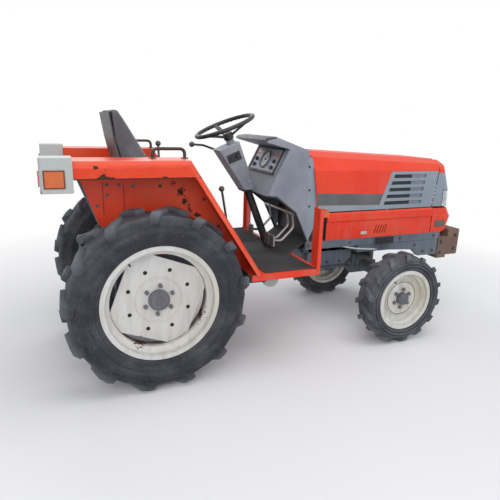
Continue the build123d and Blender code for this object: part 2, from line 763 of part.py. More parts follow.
def fender_left():
    """Wheel-side wall, rolled top and front, and the lip that hangs from their outer edge."""
    low_z = FLOOR_TOP_Z
    wall = side_prism(
        fender_edge(0, 0) + [
            (FLOOR_REAR_X, low_z),
            (FLOOR_REAR_X - FENDER_ARCH_IN, FENDER_ARCH_Z),
            (FENDER_WALL_REAR_X + FENDER_ARCH_IN, FENDER_ARCH_Z),
            (FENDER_WALL_REAR_X, FENDER_WALL_LOW_Z),
        ], FENDER_IN_Y, FENDER_IN_Y + FENDER_T)
    outer = fender_edge(0, 0)
    band = side_prism(outer + fender_edge(FENDER_LIP_TOP, FENDER_LIP_FOOT)[::-1],
                      FENDER_IN_Y, FENDER_OUT_Y)
    long_edges = band.edges().filter_by_position(Axis.Y, FENDER_OUT_Y - 1, FENDER_OUT_Y + 1)
    upper = [e for e in long_edges if on_fender_outline(e, outer)]
    band = fillet(upper, FENDER_ROLL_R)
    skin = fender_edge(FENDER_T, FENDER_T)
    skin[0] = (FENDER_REAR_X - FENDER_T, skin[0][1])
    foot = (skin[2][0] + FENDER_T / tan(FENDER_LEAN), low_z - FENDER_T)
    space = side_prism(skin[:2] + [foot, (FENDER_REAR_X - FENDER_T, foot[1])],
                       FENDER_IN_Y + FENDER_T, FENDER_OUT_Y - FENDER_T)
    inner_edges = space.edges().filter_by_position(
        Axis.Y, FENDER_OUT_Y - FENDER_T - 1, FENDER_OUT_Y - FENDER_T + 1)
    upper = [e for e in inner_edges if on_fender_outline(e, skin[:2] + [foot])]
    space = fillet(upper, FENDER_ROLL_R - FENDER_T)
    return (band - space) + wall


def on_fender_outline(edge, outline):
    """True when an edge's middle lies on the top or front line of an (x, z) outline."""
    middle = edge @ 0.5
    for (x0, z0), (x1, z1) in zip(outline, outline[1:]):
        length = hypot(x1 - x0, z1 - z0)
        off = abs((x1 - x0) * (z0 - middle.Z) - (x0 - middle.X) * (z1 - z0)) / length
        if off < 0.5:
            return True
    return False


def fenders():
    return both(fender_left())


def fender_stays():
    """Flat bars from the fenders' rear edges down to the axle housing."""
    low_z = REAR_HUB_Z + AXLE_TUBE_R
    y1 = FENDER_IN_Y
    top_x = FENDER_REAR_X + STAY_IN
    top_z = FENDER_TOP_Z - STAY_DROP
    bar = side_prism([
        (top_x, top_z), (top_x + STAY_W, top_z), (STAY_W, low_z), (-STAY_W, low_z),
        (FENDER_WALL_REAR_X - STAY_T, FENDER_WALL_LOW_Z),
    ], y1 - STAY_T, y1)
    pad = block(-STAY_W, STAY_W, y1 - 5 * STAY_T, y1 + STAY_T, low_z - STAY_T, low_z + STAY_T)
    pad -= cross_rod(0, REAR_HUB_Z, AXLE_TUBE_R, y1 - 6 * STAY_T, y1 + 2 * STAY_T)
    bar += pad
    return both(bar)


def tail_lamps():
    """Housings that close the rear ends of the fenders."""
    housing = block(LAMP_REAR_X, FENDER_REAR_X, LAMP_IN_Y, LAMP_OUT_Y, LAMP_LOW_Z, LAMP_TOP_Z)
    housing = fillet(housing.edges().filter_by(Axis.Z).sort_by(Axis.X)[:2], LAMP_R)
    return both(housing)


def lamp_lenses():
    """Amber side lenses and red rear ones of the tail lamps, and the front pillars' lamps."""
    x1 = FENDER_REAR_X - 38
    low_z = LENS_Z - LENS_H / 2
    top_z = LENS_Z + LENS_H / 2
    lens = block(x1 - LENS_W, x1, LAMP_OUT_Y, LAMP_OUT_Y + LENS_T, low_z, top_z)
    mid_y = (LAMP_IN_Y + LAMP_OUT_Y) / 2
    half_w = (LENS_W - LAMP_R) / 2
    lens += block(LAMP_REAR_X - LENS_T, LAMP_REAR_X, mid_y - half_w, mid_y + half_w, low_z, top_z)
    lens += block(FLOOR_FRONT_X, FLOOR_FRONT_X + SIDE_LAMP_L, FLOOR_HALF_W - SIDE_LAMP_W - 18,
                  FLOOR_HALF_W - 18, PILLAR_TOP_Z - SIDE_LAMP_H - 8, PILLAR_TOP_Z - 8)
    return both(lens)


def grab_handles():
    z = FENDER_TOP_Z
    points = [(HANDLE_X0, HANDLE_Y, z), (HANDLE_X0, HANDLE_Y, z + HANDLE_H),
              (HANDLE_X1, HANDLE_Y, z + HANDLE_H), (HANDLE_X1, HANDLE_Y, z)]
    return both(pipe(points, HANDLE_BEND, HANDLE_R))


# Seat
def seat_frame():
    """The pan and back shell with the two ears of the front hinge."""
    t = FLOOR_T
    low_x, low_z = SEAT_BACK[0]
    shell = side_prism(
        [(SEAT_FRONT_X, low_z)] + SEAT_BACK
        + [(x + t, z) for x, z in reversed(SEAT_BACK[1:])]
        + [(low_x + t, low_z + t), (SEAT_FRONT_X, low_z + t)],
        SEAT_SHELL_IN - SEAT_HALF_W, SEAT_HALF_W - SEAT_SHELL_IN)
    r = SEAT_PIN_Z - SEAT_BASE_TOP_Z - 1
    y1 = SEAT_PIN_EAR_Y - 1
    ear = block(SEAT_EAR_X - r, SEAT_EAR_X + r, y1 - SEAT_EAR_T, y1, SEAT_PIN_Z, SEAT_PAN_Z)
    ear += cross_rod(SEAT_EAR_X, SEAT_PIN_Z, r, y1 - SEAT_EAR_T, y1)
    ear -= cross_rod(SEAT_EAR_X, SEAT_PIN_Z, SEAT_PIN_R + RUN_FIT, y1 - SEAT_EAR_T, y1)
    return shell + both(ear)


def seat_cushion():
    """The seat's pad, one piece from the front edge to the top of its back."""
    z0 = SEAT_PAN_Z + FLOOR_T
    z1 = z0 + SEAT_CUSHION_T
    back = [(x + FLOOR_T, z) for x, z in SEAT_BACK]
    (low_x, low_z), (mid_x, mid_z), (high_x, high_z), (tip_x, tip_z) = back
    r = SEAT_ROUND
    pad = side_prism([
        (SEAT_FRONT_X - r / 2, z0), (SEAT_FRONT_X + r / 2, z1 - 2 * r), (SEAT_FRONT_X - r, z1),
        (low_x + 10 * r, z1 - r), (low_x + 5 * r, mid_z + 3 * r),
        (high_x + 7 * r, high_z + r), (tip_x + 3 * r, tip_z + r / 2), (tip_x + 2 * r, tip_z + r),
        (tip_x + r / 2, tip_z + r / 2), (high_x, high_z), (mid_x, mid_z),
        (low_x, low_z + FLOOR_T),
    ], -SEAT_HALF_W, SEAT_HALF_W)
    ends = pad.faces().sort_by(Axis.Y)
    return fillet(ends[0].edges() + ends[-1].edges(), 8)


def seat_base():
    """The sheet-metal box under the seat, its hinge posts and two rubber rests."""
    t = FENDER_T
    low_z = LIFT_HOUSE_TOP_Z
    base = block(SEAT_BASE_REAR_X, SEAT_BASE_FRONT_X, -SEAT_BASE_HALF_W, SEAT_BASE_HALF_W,
                 low_z, SEAT_BASE_TOP_Z)
    base -= block(SEAT_BASE_REAR_X + t, SEAT_BASE_FRONT_X - t, t - SEAT_BASE_HALF_W,
                  SEAT_BASE_HALF_W - t, low_z, SEAT_BASE_TOP_Z - t)
    r = SEAT_PIN_R + 2
    post = block(SEAT_EAR_X - r, SEAT_EAR_X + r, SEAT_PIN_EAR_Y, SEAT_PIN_EAR_Y + SEAT_EAR_T,
                 SEAT_BASE_TOP_Z - 20, SEAT_PIN_Z)
    post += cross_rod(SEAT_EAR_X, SEAT_PIN_Z, r, SEAT_PIN_EAR_Y, SEAT_PIN_EAR_Y + SEAT_EAR_T)
    post += cross_rod(SEAT_EAR_X, SEAT_PIN_Z, SEAT_PIN_R, SEAT_PIN_EAR_Y - SEAT_EAR_T - 3,
                      SEAT_PIN_EAR_Y)
    rest = upright(SEAT_BASE_REAR_X + 30, SEAT_PIN_EAR_Y - 20, 12, SEAT_BASE_TOP_Z,
                   SEAT_PAN_Z - REST_GAP)
    return base + both(post) + both(rest)


# Lift and hitch
def lift_arms():
    """The rockshaft with an arm at each end and a pin for each lift rod."""
    y0 = ARM_Y - ARM_T / 2
    y1 = ARM_Y + ARM_T / 2
    arms = cross_rod(ROCK_X, ROCK_Z, ROCK_R, -y1, y1)
    boss_r = ROCK_R + 14
    arm = cross_rod(ROCK_X, ROCK_Z, boss_r, y0, y1)
    arm += cross_rod(ARM_END_X, ARM_END_Z, ARM_END_R, y0, y1)
    side_x = sin(radians(ARM_SLOPE))
    side_z = cos(radians(ARM_SLOPE))
    arm += side_prism([
        (ROCK_X - side_x * boss_r, ROCK_Z + side_z * boss_r),
        (ROCK_X + side_x * boss_r, ROCK_Z - side_z * boss_r),
        (ARM_END_X + side_x * ARM_END_R, ARM_END_Z - side_z * ARM_END_R),
        (ARM_END_X - side_x * ARM_END_R, ARM_END_Z + side_z * ARM_END_R),
    ], y0, y1)
    arm += cross_rod(ARM_END_X, ARM_END_Z, LIFT_PIN_R, y1, LIFT_ROD_Y + LIFT_EYE_T)
    return arms + both(arm)


def lift_rods():
    """Bars from the lift arms down to the lower links; the lower eye is loose on its pin."""
    y0 = LIFT_ROD_Y - LIFT_EYE_T / 2
    y1 = LIFT_ROD_Y + LIFT_EYE_T / 2
    eye_r = LIFT_PIN_R + 9
    bar = rod((ARM_END_X, LIFT_ROD_Y, ARM_END_Z), (LINK_MID_X, LIFT_ROD_Y, LINK_MID_Z),
              LIFT_ROD_R)
    cut_y0 = LIFT_ROD_Y - 2 * LIFT_ROD_R
    cut_y1 = LIFT_ROD_Y + 2 * LIFT_ROD_R
    for x, z, bore_r in ((ARM_END_X, ARM_END_Z, LIFT_PIN_R + RUN_FIT),
                         (LINK_MID_X, LINK_MID_Z, LIFT_PIN_R + LIFT_LOOSE)):
        bar += cross_rod(x, z, max(eye_r, bore_r + 6), y0, y1)
    for x, z, bore_r in ((ARM_END_X, ARM_END_Z, LIFT_PIN_R + RUN_FIT),
                         (LINK_MID_X, LINK_MID_Z, LIFT_PIN_R + LIFT_LOOSE)):
        bar -= cross_rod(x, z, bore_r, cut_y0, cut_y1)
    return both(bar)


def lower_links():
    """Flat links with an eye at the case, a pin for the lift rod and a ball eye at the end."""
    y0 = LINK_Y - LINK_T / 2
    y1 = LINK_Y + LINK_T / 2
    half_h = LINK_EYE_R - 9
    side_x = sin(radians(LINK_SLOPE)) * half_h
    side_z = cos(radians(LINK_SLOPE)) * half_h
    link = side_prism([
        (LINK_X - side_x, LINK_Z + side_z), (LINK_X + side_x, LINK_Z - side_z),
        (LINK_END_X + side_x, LINK_END_Z - side_z), (LINK_END_X - side_x, LINK_END_Z + side_z),
    ], y0, y1)
    for x, z in ((LINK_X, LINK_Z), (LINK_END_X, LINK_END_Z)):
        link += cross_rod(x, z, LINK_EYE_R, y0, y1)
    link += cross_rod(LINK_MID_X, LINK_MID_Z, LIFT_PIN_R, y1, LIFT_ROD_Y + LIFT_EYE_T)
    link -= cross_rod(LINK_X, LINK_Z, LINK_PIN_R + RUN_FIT, y0, y1)
    link -= cross_rod(LINK_END_X, LINK_END_Z, BALL_BORE_R, y0, y1)
    return both(link)


def pto_shaft():
    """The output shaft: a journal in the case and the thicker end that drives a machine."""
    inner_x = CASE_REAR_X + PTO_SEAT_L - MOVE_GAP
    step_x = CASE_REAR_X - MOVE_GAP
    shaft = rod((inner_x, 0, PTO_Z), (step_x, 0, PTO_Z), PTO_JOURNAL_R)
    return shaft + rod((step_x, 0, PTO_Z), (step_x - PTO_L, 0, PTO_Z), PTO_R)


def hitch_brackets():
    """Drawbar plate and top-link bracket behind the case, and the link pins under its sides."""
    plate_x = CASE_REAR_X - DRAWBAR_T
    bar = block(DRAWBAR_X, CASE_REAR_X, -DRAWBAR_HALF_W, DRAWBAR_HALF_W,
                DRAWBAR_Z - DRAWBAR_T / 2, DRAWBAR_Z + DRAWBAR_T / 2)
    bar += upright(DRAWBAR_X, 0, DRAWBAR_HALF_W, DRAWBAR_Z - DRAWBAR_T / 2,
                   DRAWBAR_Z + DRAWBAR_T / 2)
    bar += block(plate_x, CASE_REAR_X, -DRAWBAR_HALF_W, DRAWBAR_HALF_W,
                 DRAWBAR_Z - DRAWBAR_T / 2, DRAWBAR_Z + 3 * DRAWBAR_T)
    bar -= upright(DRAWBAR_X, 0, DRAWBAR_BORE_R, DRAWBAR_Z - DRAWBAR_T, DRAWBAR_Z + DRAWBAR_T)
    ear_r = TOP_LINK_BORE_R + 14
    y0 = TOP_LINK_GAP / 2
    ear = block(TOP_LINK_X, CASE_REAR_X, y0, y0 + TOP_LINK_EAR_T, TOP_LINK_Z - ear_r,
                TOP_LINK_Z + ear_r)
    ear += cross_rod(TOP_LINK_X, TOP_LINK_Z, ear_r, y0, y0 + TOP_LINK_EAR_T)
    top = both(ear)
    top += block(CASE_REAR_X - TOP_LINK_EAR_T, CASE_REAR_X, -y0 - TOP_LINK_EAR_T,
                 y0 + TOP_LINK_EAR_T, TOP_LINK_Z - 3 * ear_r, TOP_LINK_Z)
    top -= cross_rod(TOP_LINK_X, TOP_LINK_Z, TOP_LINK_BORE_R, -y0 - TOP_LINK_EAR_T,
                     y0 + TOP_LINK_EAR_T)
    pin_in = LINK_Y - LINK_T / 2 - MOVE_GAP
    pin = block(LINK_X - LINK_EAR_HALF_L, LINK_X + LINK_EAR_HALF_L, CASE_HALF_W - LINK_EAR_T,
                CASE_HALF_W, LINK_Z - LINK_EYE_R, CASE_LOW_Z)
    pin += cross_rod(LINK_X, LINK_Z, LINK_PIN_R + MOVE_GAP, CASE_HALF_W, pin_in)
    pin += cross_rod(LINK_X, LINK_Z, LINK_PIN_R, CASE_HALF_W, LINK_Y + LINK_T / 2 + MOVE_GAP)
    return bar + top + both(pin)


# Cowl, column and controls
COWL_WALL = [(972, 1195), (868, 1228), (841, 1202), (760, 1045), (708, 929)]
COWL_VISOR = [(751, 1271), (690, 1264), (674, 1250), (700, 1238)]
COWL_LOW = [(768, 921), (899, 822), (988, RAIL_TOP_Z), (1004, RAIL_TOP_Z)]
PANEL_TILT_TOP = COWL_WALL[2]
PANEL_TILT_LOW = COWL_WALL[3]


def inset(points, depth):
    """A line of (x, z) points moved sideways by a depth, with its corners kept sharp."""
    normals = []
    for (x0, z0), (x1, z1) in zip(points, points[1:]):
        length = hypot(x1 - x0, z1 - z0)
        normals.append(((z1 - z0) / length, (x0 - x1) / length))
    moved = []
    for i, (x, z) in enumerate(points):
        before = normals[max(i - 1, 0)]
        after = normals[min(i, len(normals) - 1)]
        nx = (before[0] + after[0]) / 2
        nz = (before[1] + after[1]) / 2
        scale = depth / (nx * nx + nz * nz)
        moved.append((x + nx * scale, z + nz * scale))
    return moved


def dash_cowl():
    """The hollow shroud behind the hood, open towards the engine and the pedals."""
    outline = [COWL_WALL[0]] + COWL_VISOR + COWL_WALL[2:] + COWL_LOW
    cowl = side_prism(outline, -COWL_HALF_W, COWL_HALF_W)
    wall = inset(COWL_WALL, -COWL_T)
    front_x = COWL_LOW[-1][0] + MOVE_GAP
    low_z = COWL_LOW[-1][1] - MOVE_GAP
    rise = (wall[0][1] - wall[1][1]) / (wall[0][0] - wall[1][0])
    wall[0] = (front_x, wall[1][1] + rise * (front_x - wall[1][0]))
    sink = (wall[-1][0] - wall[-2][0]) / (wall[-1][1] - wall[-2][1])
    wall.append((wall[-1][0] + sink * (low_z - wall[-1][1]), low_z))
    space = side_prism(wall + [(front_x, low_z)], COWL_T - COWL_HALF_W, COWL_HALF_W - COWL_T)
    under = HOOD_TOP_REAR_Z - HOOD_T - REST_GAP
    fall = (HOOD_TOP_REAR_Z - HOOD_TOP_FRONT_Z) / (HOOD_FRONT_TOP_X - HOOD_REAR_TOP_X)
    ledge_x = HOOD_REAR_TOP_X + SEAL_L
    half_w = HOOD_HALF_W - 3 * HOOD_SHOULDER_IN - 2 * HOOD_T
    cowl_x, cowl_z = COWL_WALL[0]
    rear_x = cowl_x - SEAL_L / 2
    ledge = side_prism([
        (rear_x, under - 2 * COWL_T), (ledge_x, under - 2 * COWL_T),
        (ledge_x, under - fall * SEAL_L), (HOOD_REAR_TOP_X, under), (cowl_x, under),
        (cowl_x, cowl_z), (rear_x, cowl_z),
    ], -half_w, half_w)
    return cowl - space + ledge


def instrument_panel():
    """The sloping panel that faces the driver, with a round dial ring on it."""
    (x1, z1), (x0, z0) = PANEL_TILT_TOP, PANEL_TILT_LOW
    length = hypot(x1 - x0, z1 - z0)
    place = Plane(origin=((x0 + x1) / 2, 0, (z0 + z1) / 2), x_dir=(0, -1, 0),
                  z_dir=(-(z1 - z0), 0, x1 - x0))
    board = extrude(place * RectangleRounded(2 * PANEL_HALF_W, length - 2 * PANEL_EDGE, DIAL_WALL),
                    PANEL_BOARD_T)
    ring_shape = Circle(DIAL_R) - Circle(DIAL_R - DIAL_WALL)
    dial = extrude(place.offset(PANEL_BOARD_T) * ring_shape, DIAL_WALL)
    return board + dial


def steer_place(distance):
    """The plane square to the steering column, a distance up from the wheel's hub."""
    ux, _, uz = STEER_UP
    return Plane(origin=(STEER_HUB_X + ux * distance, 0, STEER_HUB_Z + uz * distance),
                 x_dir=STEER_FORE, z_dir=STEER_UP)


def steering_wheel():
    """Rim, three spokes dished down to the hub, and the shaft in the column."""
    rim_plane = steer_place(STEER_DISH)
    wheel = rim_plane * Torus(STEER_RIM_R, STEER_GRIP_R)
    wheel += extrude(steer_place(0) * Circle(STEER_HUB_R), STEER_HUB_H)
    wheel += extrude(steer_place(0) * Circle(STEER_SHAFT_R), -STEER_SHAFT_L)
    hub_plane = steer_place(STEER_HUB_H / 2)
    for turn in (90, 210, 330):
        a = radians(turn)
        inner = hub_plane.from_local_coords((0.6 * STEER_HUB_R * cos(a), 0.6 * STEER_HUB_R * sin(a), 0))
        outer = rim_plane.from_local_coords((STEER_RIM_R * cos(a), STEER_RIM_R * sin(a), 0))
        wheel += rod(tuple(inner), tuple(outer), STEER_SPOKE_R)
    return wheel


def steering_column():
    """The tube from under the wheel down to the platform, with its slanted cover."""
    length = (STEER_HUB_Z - FLOOR_TOP_Z) / STEER_UP[2]
    tube = extrude(steer_place(-COLUMN_GAP) * Circle(COLUMN_R), -(length + COLUMN_R))
    far = FLOOR_FRONT_X + COLUMN_R
    tube -= block(0, far, -2 * COLUMN_R, 2 * COLUMN_R, 0, FLOOR_TOP_Z)
    top = steer_place(-COLUMN_GAP - COVER_TOP_GAP)
    corners = [(-COVER_REAR, 0), (COVER_FRONT, 0), (COVER_FRONT - RIM_T, -COVER_DROP),
               (-COVER_FRONT, -COVER_DROP)]
    points = []
    for fore, up in corners:
        place = top.origin + Vector(*STEER_FORE) * fore + Vector(*STEER_UP) * up
        points.append((place.X, place.Z))
    cover = side_prism(points, -COVER_HALF_W, COVER_HALF_W)
    cover = fillet(cover.edges().filter_by(Axis.Y, reverse=True), COVER_R)
    column = tube + cover
    return column - extrude(steer_place(-COLUMN_GAP) * Circle(STEER_SHAFT_R + RUN_FIT),
                            -STEER_SHAFT_L)


def control_levers():
    """Shift lever on the column, range lever on the platform and lift lever by the seat."""
    y = COVER_HALF_W
    root_x = STEER_HUB_X + 2 * LEVER_BEND
    root_z = STEER_HUB_Z - 6 * LEVER_BEND
    far_y = STEER_RIM_R + 3 * STEER_GRIP_R + LEVER_BEND
    tip = (STEER_HUB_X - STEER_RIM_R, far_y - 2 * LEVER_BEND, STEER_HUB_Z - 2 * LEVER_BEND)
    shift = pipe([(root_x, y, root_z), (root_x, y + 3 * LEVER_BEND, root_z),
                  (root_x - LEVER_BEND, far_y, root_z + 2 * LEVER_BEND),
                  (STEER_HUB_X - STEER_RIM_R / 2, far_y, tip[2] - LEVER_R), tip],
                 LEVER_BEND, LEVER_R)
    shift += Pos(*tip) * Sphere(KNOB_R)
    knob_z = FLOOR_TOP_Z + GEAR_LEVER_H
    knob = (FLOOR_REAR_X + LEVER_BEND, -MID_CASE_HALF_W, knob_z)
    root_x = FLOOR_REAR_X + 3 * LEVER_BEND
    root_y = LEVER_BEND - MID_CASE_HALF_W
    gear = pipe([(root_x, root_y, FLOOR_TOP_Z), (root_x, root_y, knob_z - GEAR_LEVER_H / 2), knob],
                2 * LEVER_BEND, LEVER_R)
    gear += Pos(*knob) * Sphere(KNOB_R)
    side_y = SEAT_BASE_HALF_W
    root_z = SEAT_BASE_TOP_Z - 3 * LEVER_BEND
    far_y = SEAT_HALF_W + 2 * LEVER_BEND
    knob = (LIFT_LEVER_X - LEVER_R, far_y, root_z + LIFT_LEVER_H)
    lift = pipe([(LIFT_LEVER_X, side_y, root_z), (LIFT_LEVER_X, far_y - LEVER_BEND, root_z), knob],
                LEVER_BEND, LEVER_R)
    lift += Pos(*knob) * Sphere(KNOB_R)
    return shift + gear + lift


def pedals():
    """A cross shaft in the cowl with the clutch pedal on the left and two brakes on the right."""
    in_y = COWL_HALF_W - COWL_T
    unit = cross_rod(PEDAL_X, PEDAL_Z, PEDAL_SHAFT_R, -in_y, in_y)
    for y in (150, -110, -178):
        arm = pipe([(PEDAL_X, y, PEDAL_Z), (PEDAL_X + 12, y, PEDAL_Z - 90),
                    (PEDAL_X - 70, y, FLOOR_TOP_Z + 76), (PEDAL_PAD_X, y, FLOOR_TOP_Z + 84)],
                   40, PEDAL_ARM_R)
        pad = block(PEDAL_PAD_X - PEDAL_PAD_T, PEDAL_PAD_X + PEDAL_PAD_T,
                    y - PEDAL_PAD_HALF_W, y + PEDAL_PAD_HALF_W, FLOOR_TOP_Z + 50,
                    FLOOR_TOP_Z + 118)
        boss = cross_rod(PEDAL_X, PEDAL_Z, PEDAL_BOSS_R, y - PEDAL_BOSS_R, y + PEDAL_BOSS_R)
        unit += arm + pad + boss
    return unit


# Hood, nose and panels
def hood_section(x, top_z, thickness):
    """The hood's cross-section at a place along it: sides, shoulders and a flat top."""
    half = HOOD_HALF_W - thickness
    shoulder = top_z - (HOOD_TOP_REAR_Z - HOOD_SHOULDER_Z)
    points = [
        (-half, HOOD_LOW_Z - thickness), (-half, HOOD_CREASE_Z),
        (-half + HOOD_SHOULDER_IN, shoulder - thickness / 2),
        (-half + 3 * HOOD_SHOULDER_IN, top_z - thickness),
        (half - 3 * HOOD_SHOULDER_IN, top_z - thickness),
        (half - HOOD_SHOULDER_IN, shoulder - thickness / 2),
        (half, HOOD_CREASE_Z), (half, HOOD_LOW_Z - thickness),
    ]
    return make_face(Polyline(*[(x, y, z) for y, z in points], close=True))


def hood_body(rear_x, front_x, thickness):
    """The hood's space between two places along it."""
    ends = []
    for x in (rear_x, front_x):
        share = (x - HOOD_REAR_TOP_X) / (HOOD_FRONT_TOP_X - HOOD_REAR_TOP_X)
        top_z = HOOD_TOP_REAR_Z + share * (HOOD_TOP_FRONT_Z - HOOD_TOP_REAR_Z)
        ends.append(hood_section(x, top_z, thickness))
    return loft(ends, ruled=True)


def seam_outline(gap):
    """The (x, z) outline of the hood between its two slanted seams, grown by a gap."""
    high_z = HOOD_TOP_REAR_Z + 60
    low_z = HOOD_LOW_Z
    rear = ((HOOD_REAR_LOW_X - gap, low_z), (HOOD_REAR_TOP_X - gap, HOOD_TOP_REAR_Z))
    front = ((HOOD_FRONT_LOW_X + gap, low_z), (HOOD_FRONT_TOP_X + gap, HOOD_TOP_FRONT_Z))
    far_low_z = low_z - 4 * gap
    return [(on_line(*rear, far_low_z), far_low_z), (on_line(*front, far_low_z), far_low_z),
            (on_line(*front, high_z), high_z), (on_line(*rear, high_z), high_z)]


def louvre_outline():
    front_top = on_line((HOOD_FRONT_LOW_X, HOOD_LOW_Z), (HOOD_FRONT_TOP_X, HOOD_TOP_FRONT_Z),
                        LOUVRE_TOP_Z) - LOUVRE_FRONT_IN
    front_low = on_line((HOOD_FRONT_LOW_X, HOOD_LOW_Z), (HOOD_FRONT_TOP_X, HOOD_TOP_FRONT_Z),
                        LOUVRE_LOW_Z) - LOUVRE_FRONT_IN
    return [(LOUVRE_REAR_LOW_X, LOUVRE_LOW_Z), (front_low, LOUVRE_LOW_Z),
            (front_top, LOUVRE_TOP_Z), (LOUVRE_REAR_TOP_X, LOUVRE_TOP_Z)]


def hood():
    """The pressed hood, open below, with a window for the louvres in each side."""
    margin = 80
    shell = hood_body(HOOD_REAR_TOP_X - margin, HOOD_FRONT_TOP_X + margin, 0)
    shell -= hood_body(HOOD_REAR_TOP_X - 2 * margin, HOOD_FRONT_TOP_X + 2 * margin, HOOD_T)
    shell = shell & side_prism(seam_outline(0), -HOOD_HALF_W, HOOD_HALF_W)
    window = side_prism(louvre_outline(), HOOD_HALF_W - 2 * HOOD_T, HOOD_HALF_W + HOOD_T)
    shell = shell - window - flip(window)
    neck_x = HOOD_FRONT_TOP_X
    neck_z = HOOD_TOP_FRONT_Z - HOOD_T / 2
    y1 = HINGE_Y + HINGE_EAR_T
    ear = side_prism([
        (neck_x - 2 * HINGE_EYE_R - RIM_T, neck_z), (neck_x - RIM_T, neck_z),
        (neck_x, HINGE_Z + HINGE_EYE_R), (HINGE_X, HINGE_Z + HINGE_EYE_R),
        (HINGE_X, HINGE_Z - HINGE_EYE_R), (neck_x - RIM_T, HINGE_Z - HINGE_EYE_R),
        (neck_x - 2 * HINGE_EYE_R - RIM_T, neck_z - HINGE_EYE_R),
    ], HINGE_Y, y1)
    ear += cross_rod(HINGE_X, HINGE_Z, HINGE_EYE_R, HINGE_Y, y1)
    ear -= cross_rod(HINGE_X, HINGE_Z, HINGE_PIN_R + RUN_FIT, HINGE_Y, y1)
    return shell + both(ear)


def hood_louvres():
    """Side panels with five air slots, held in the hood's windows."""
    outline = louvre_outline()
    panel = side_prism(outline, HOOD_HALF_W - LOUVRE_T + 1, HOOD_HALF_W + 1)
    pitch = (LOUVRE_TOP_Z - LOUVRE_LOW_Z) / (SLOTS + 0.4)
    for k in range(SLOTS):
        z0 = LOUVRE_LOW_Z + pitch * (k + 0.7) - SLOT_H / 2
        z1 = z0 + SLOT_H
        rear = [on_line(outline[0], outline[3], z) + SLOT_REAR_IN for z in (z0, z1)]
        front = [on_line(outline[1], outline[2], z) - SLOT_FRONT_IN for z in (z0, z1)]
        panel -= side_prism([(rear[0], z0), (front[0], z0), (front[1], z1), (rear[1], z1)],
                            HOOD_HALF_W - 2 * LOUVRE_T, HOOD_HALF_W + LOUVRE_T)
    return both(panel)


def plan_loft(levels, half_w, corner_r, thickness):
    """A body lofted through plan outlines with round front corners, one for each (z, x)."""
    rear_x = HOOD_FRONT_LOW_X - 200
    sections = []
    for z, front_x in levels:
        length = front_x - thickness - rear_x
        place = Pos((front_x - thickness + rear_x) / 2, 0, z)
        outline = RectangleRounded(length, 2 * (half_w - thickness), corner_r - thickness)
        sections.append(place * outline)
    return loft(sections, ruled=True)


def nose_shell():
    """The fixed front of the hood, hollow behind, cut off along its seam."""
    low = (NOSE_FRONT[0][0] - MOVE_GAP, NOSE_FRONT[0][1])
    high = NOSE_FRONT[-1]
    outer = plan_loft(NOSE_FRONT, HOOD_HALF_W, NOSE_CORNER_R, 0)
    section = hood_section(HOOD_REAR_TOP_X, NOSE_FRONT[-1][0], 0)
    outer = outer & extrude(section, HOOD_FRONT_TOP_X, dir=(1, 0, 0))
    cavity_levels = (low,) + NOSE_FRONT[1:-1] + ((high[0] - NOSE_T, high[1]),)
    cavity = plan_loft(cavity_levels, HOOD_HALF_W, NOSE_CORNER_R, NOSE_T)
    inner_section = hood_section(HOOD_REAR_TOP_X, NOSE_FRONT[-1][0], NOSE_T)
    cavity = cavity & extrude(inner_section, HOOD_FRONT_TOP_X, dir=(1, 0, 0))
    rear = side_prism(seam_outline(NOSE_GAP), -HOOD_HALF_W - 1, HOOD_HALF_W + 1)
    return outer - cavity - rear


def grille_space():
    return block(HOOD_FRONT_TOP_X, BUMPER_FRONT_X, -GRILLE_HALF_W, GRILLE_HALF_W,
                 GRILLE_LOW_Z, GRILLE_TOP_Z)


def headlamp_space():
    return block(LAMP_FRONT_REAR_X, BUMPER_FRONT_X, LAMP_FRONT_IN_Y, HOOD_HALF_W + 1,
                 LAMP_FRONT_LOW_Z, LAMP_FRONT_TOP_Z)


def nose_panel():
    """The fixed nose around the lamps and grille, with the pins of the hood's hinge."""
    nose = nose_shell() - grille_space() - both(headlamp_space())
    top_z = NOSE_FRONT[-1][0]
    slot_x = HINGE_X + RIM_T
    y1 = HINGE_Y + HINGE_EAR_T
    slot = block(HOOD_FRONT_TOP_X, slot_x, HINGE_Y - MOVE_GAP, y1 + MOVE_GAP,
                 top_z - 2 * NOSE_T, top_z + NOSE_T)
    lug_y = HINGE_Y - MOVE_GAP
    lug = block(HINGE_X - HINGE_EYE_R, HINGE_X + 2 * HINGE_EYE_R, lug_y - HINGE_EAR_T, lug_y,
                HINGE_Z - HINGE_EYE_R, top_z - NOSE_T / 2)
    lug += cross_rod(HINGE_X, HINGE_Z, HINGE_PIN_R, lug_y, y1 + NOSE_T)
    return nose - both(slot) + both(lug)


def grille():
    """The piece of the nose between the headlamps, slotted for air."""
    plate = nose_shell() & grille_space()
    pitch = (GRILLE_TOP_Z - GRILLE_LOW_Z) / GRILLE_BARS
    for k in range(GRILLE_BARS):
        z0 = GRILLE_LOW_Z + pitch * (k + 0.25)
        plate -= block(HOOD_FRONT_TOP_X, BUMPER_FRONT_X, -GRILLE_HALF_W + pitch / 2,
                       GRILLE_HALF_W - pitch / 2, z0, z0 + pitch / 2)
    return plate


def headlamps():
    return both(nose_shell() & headlamp_space())


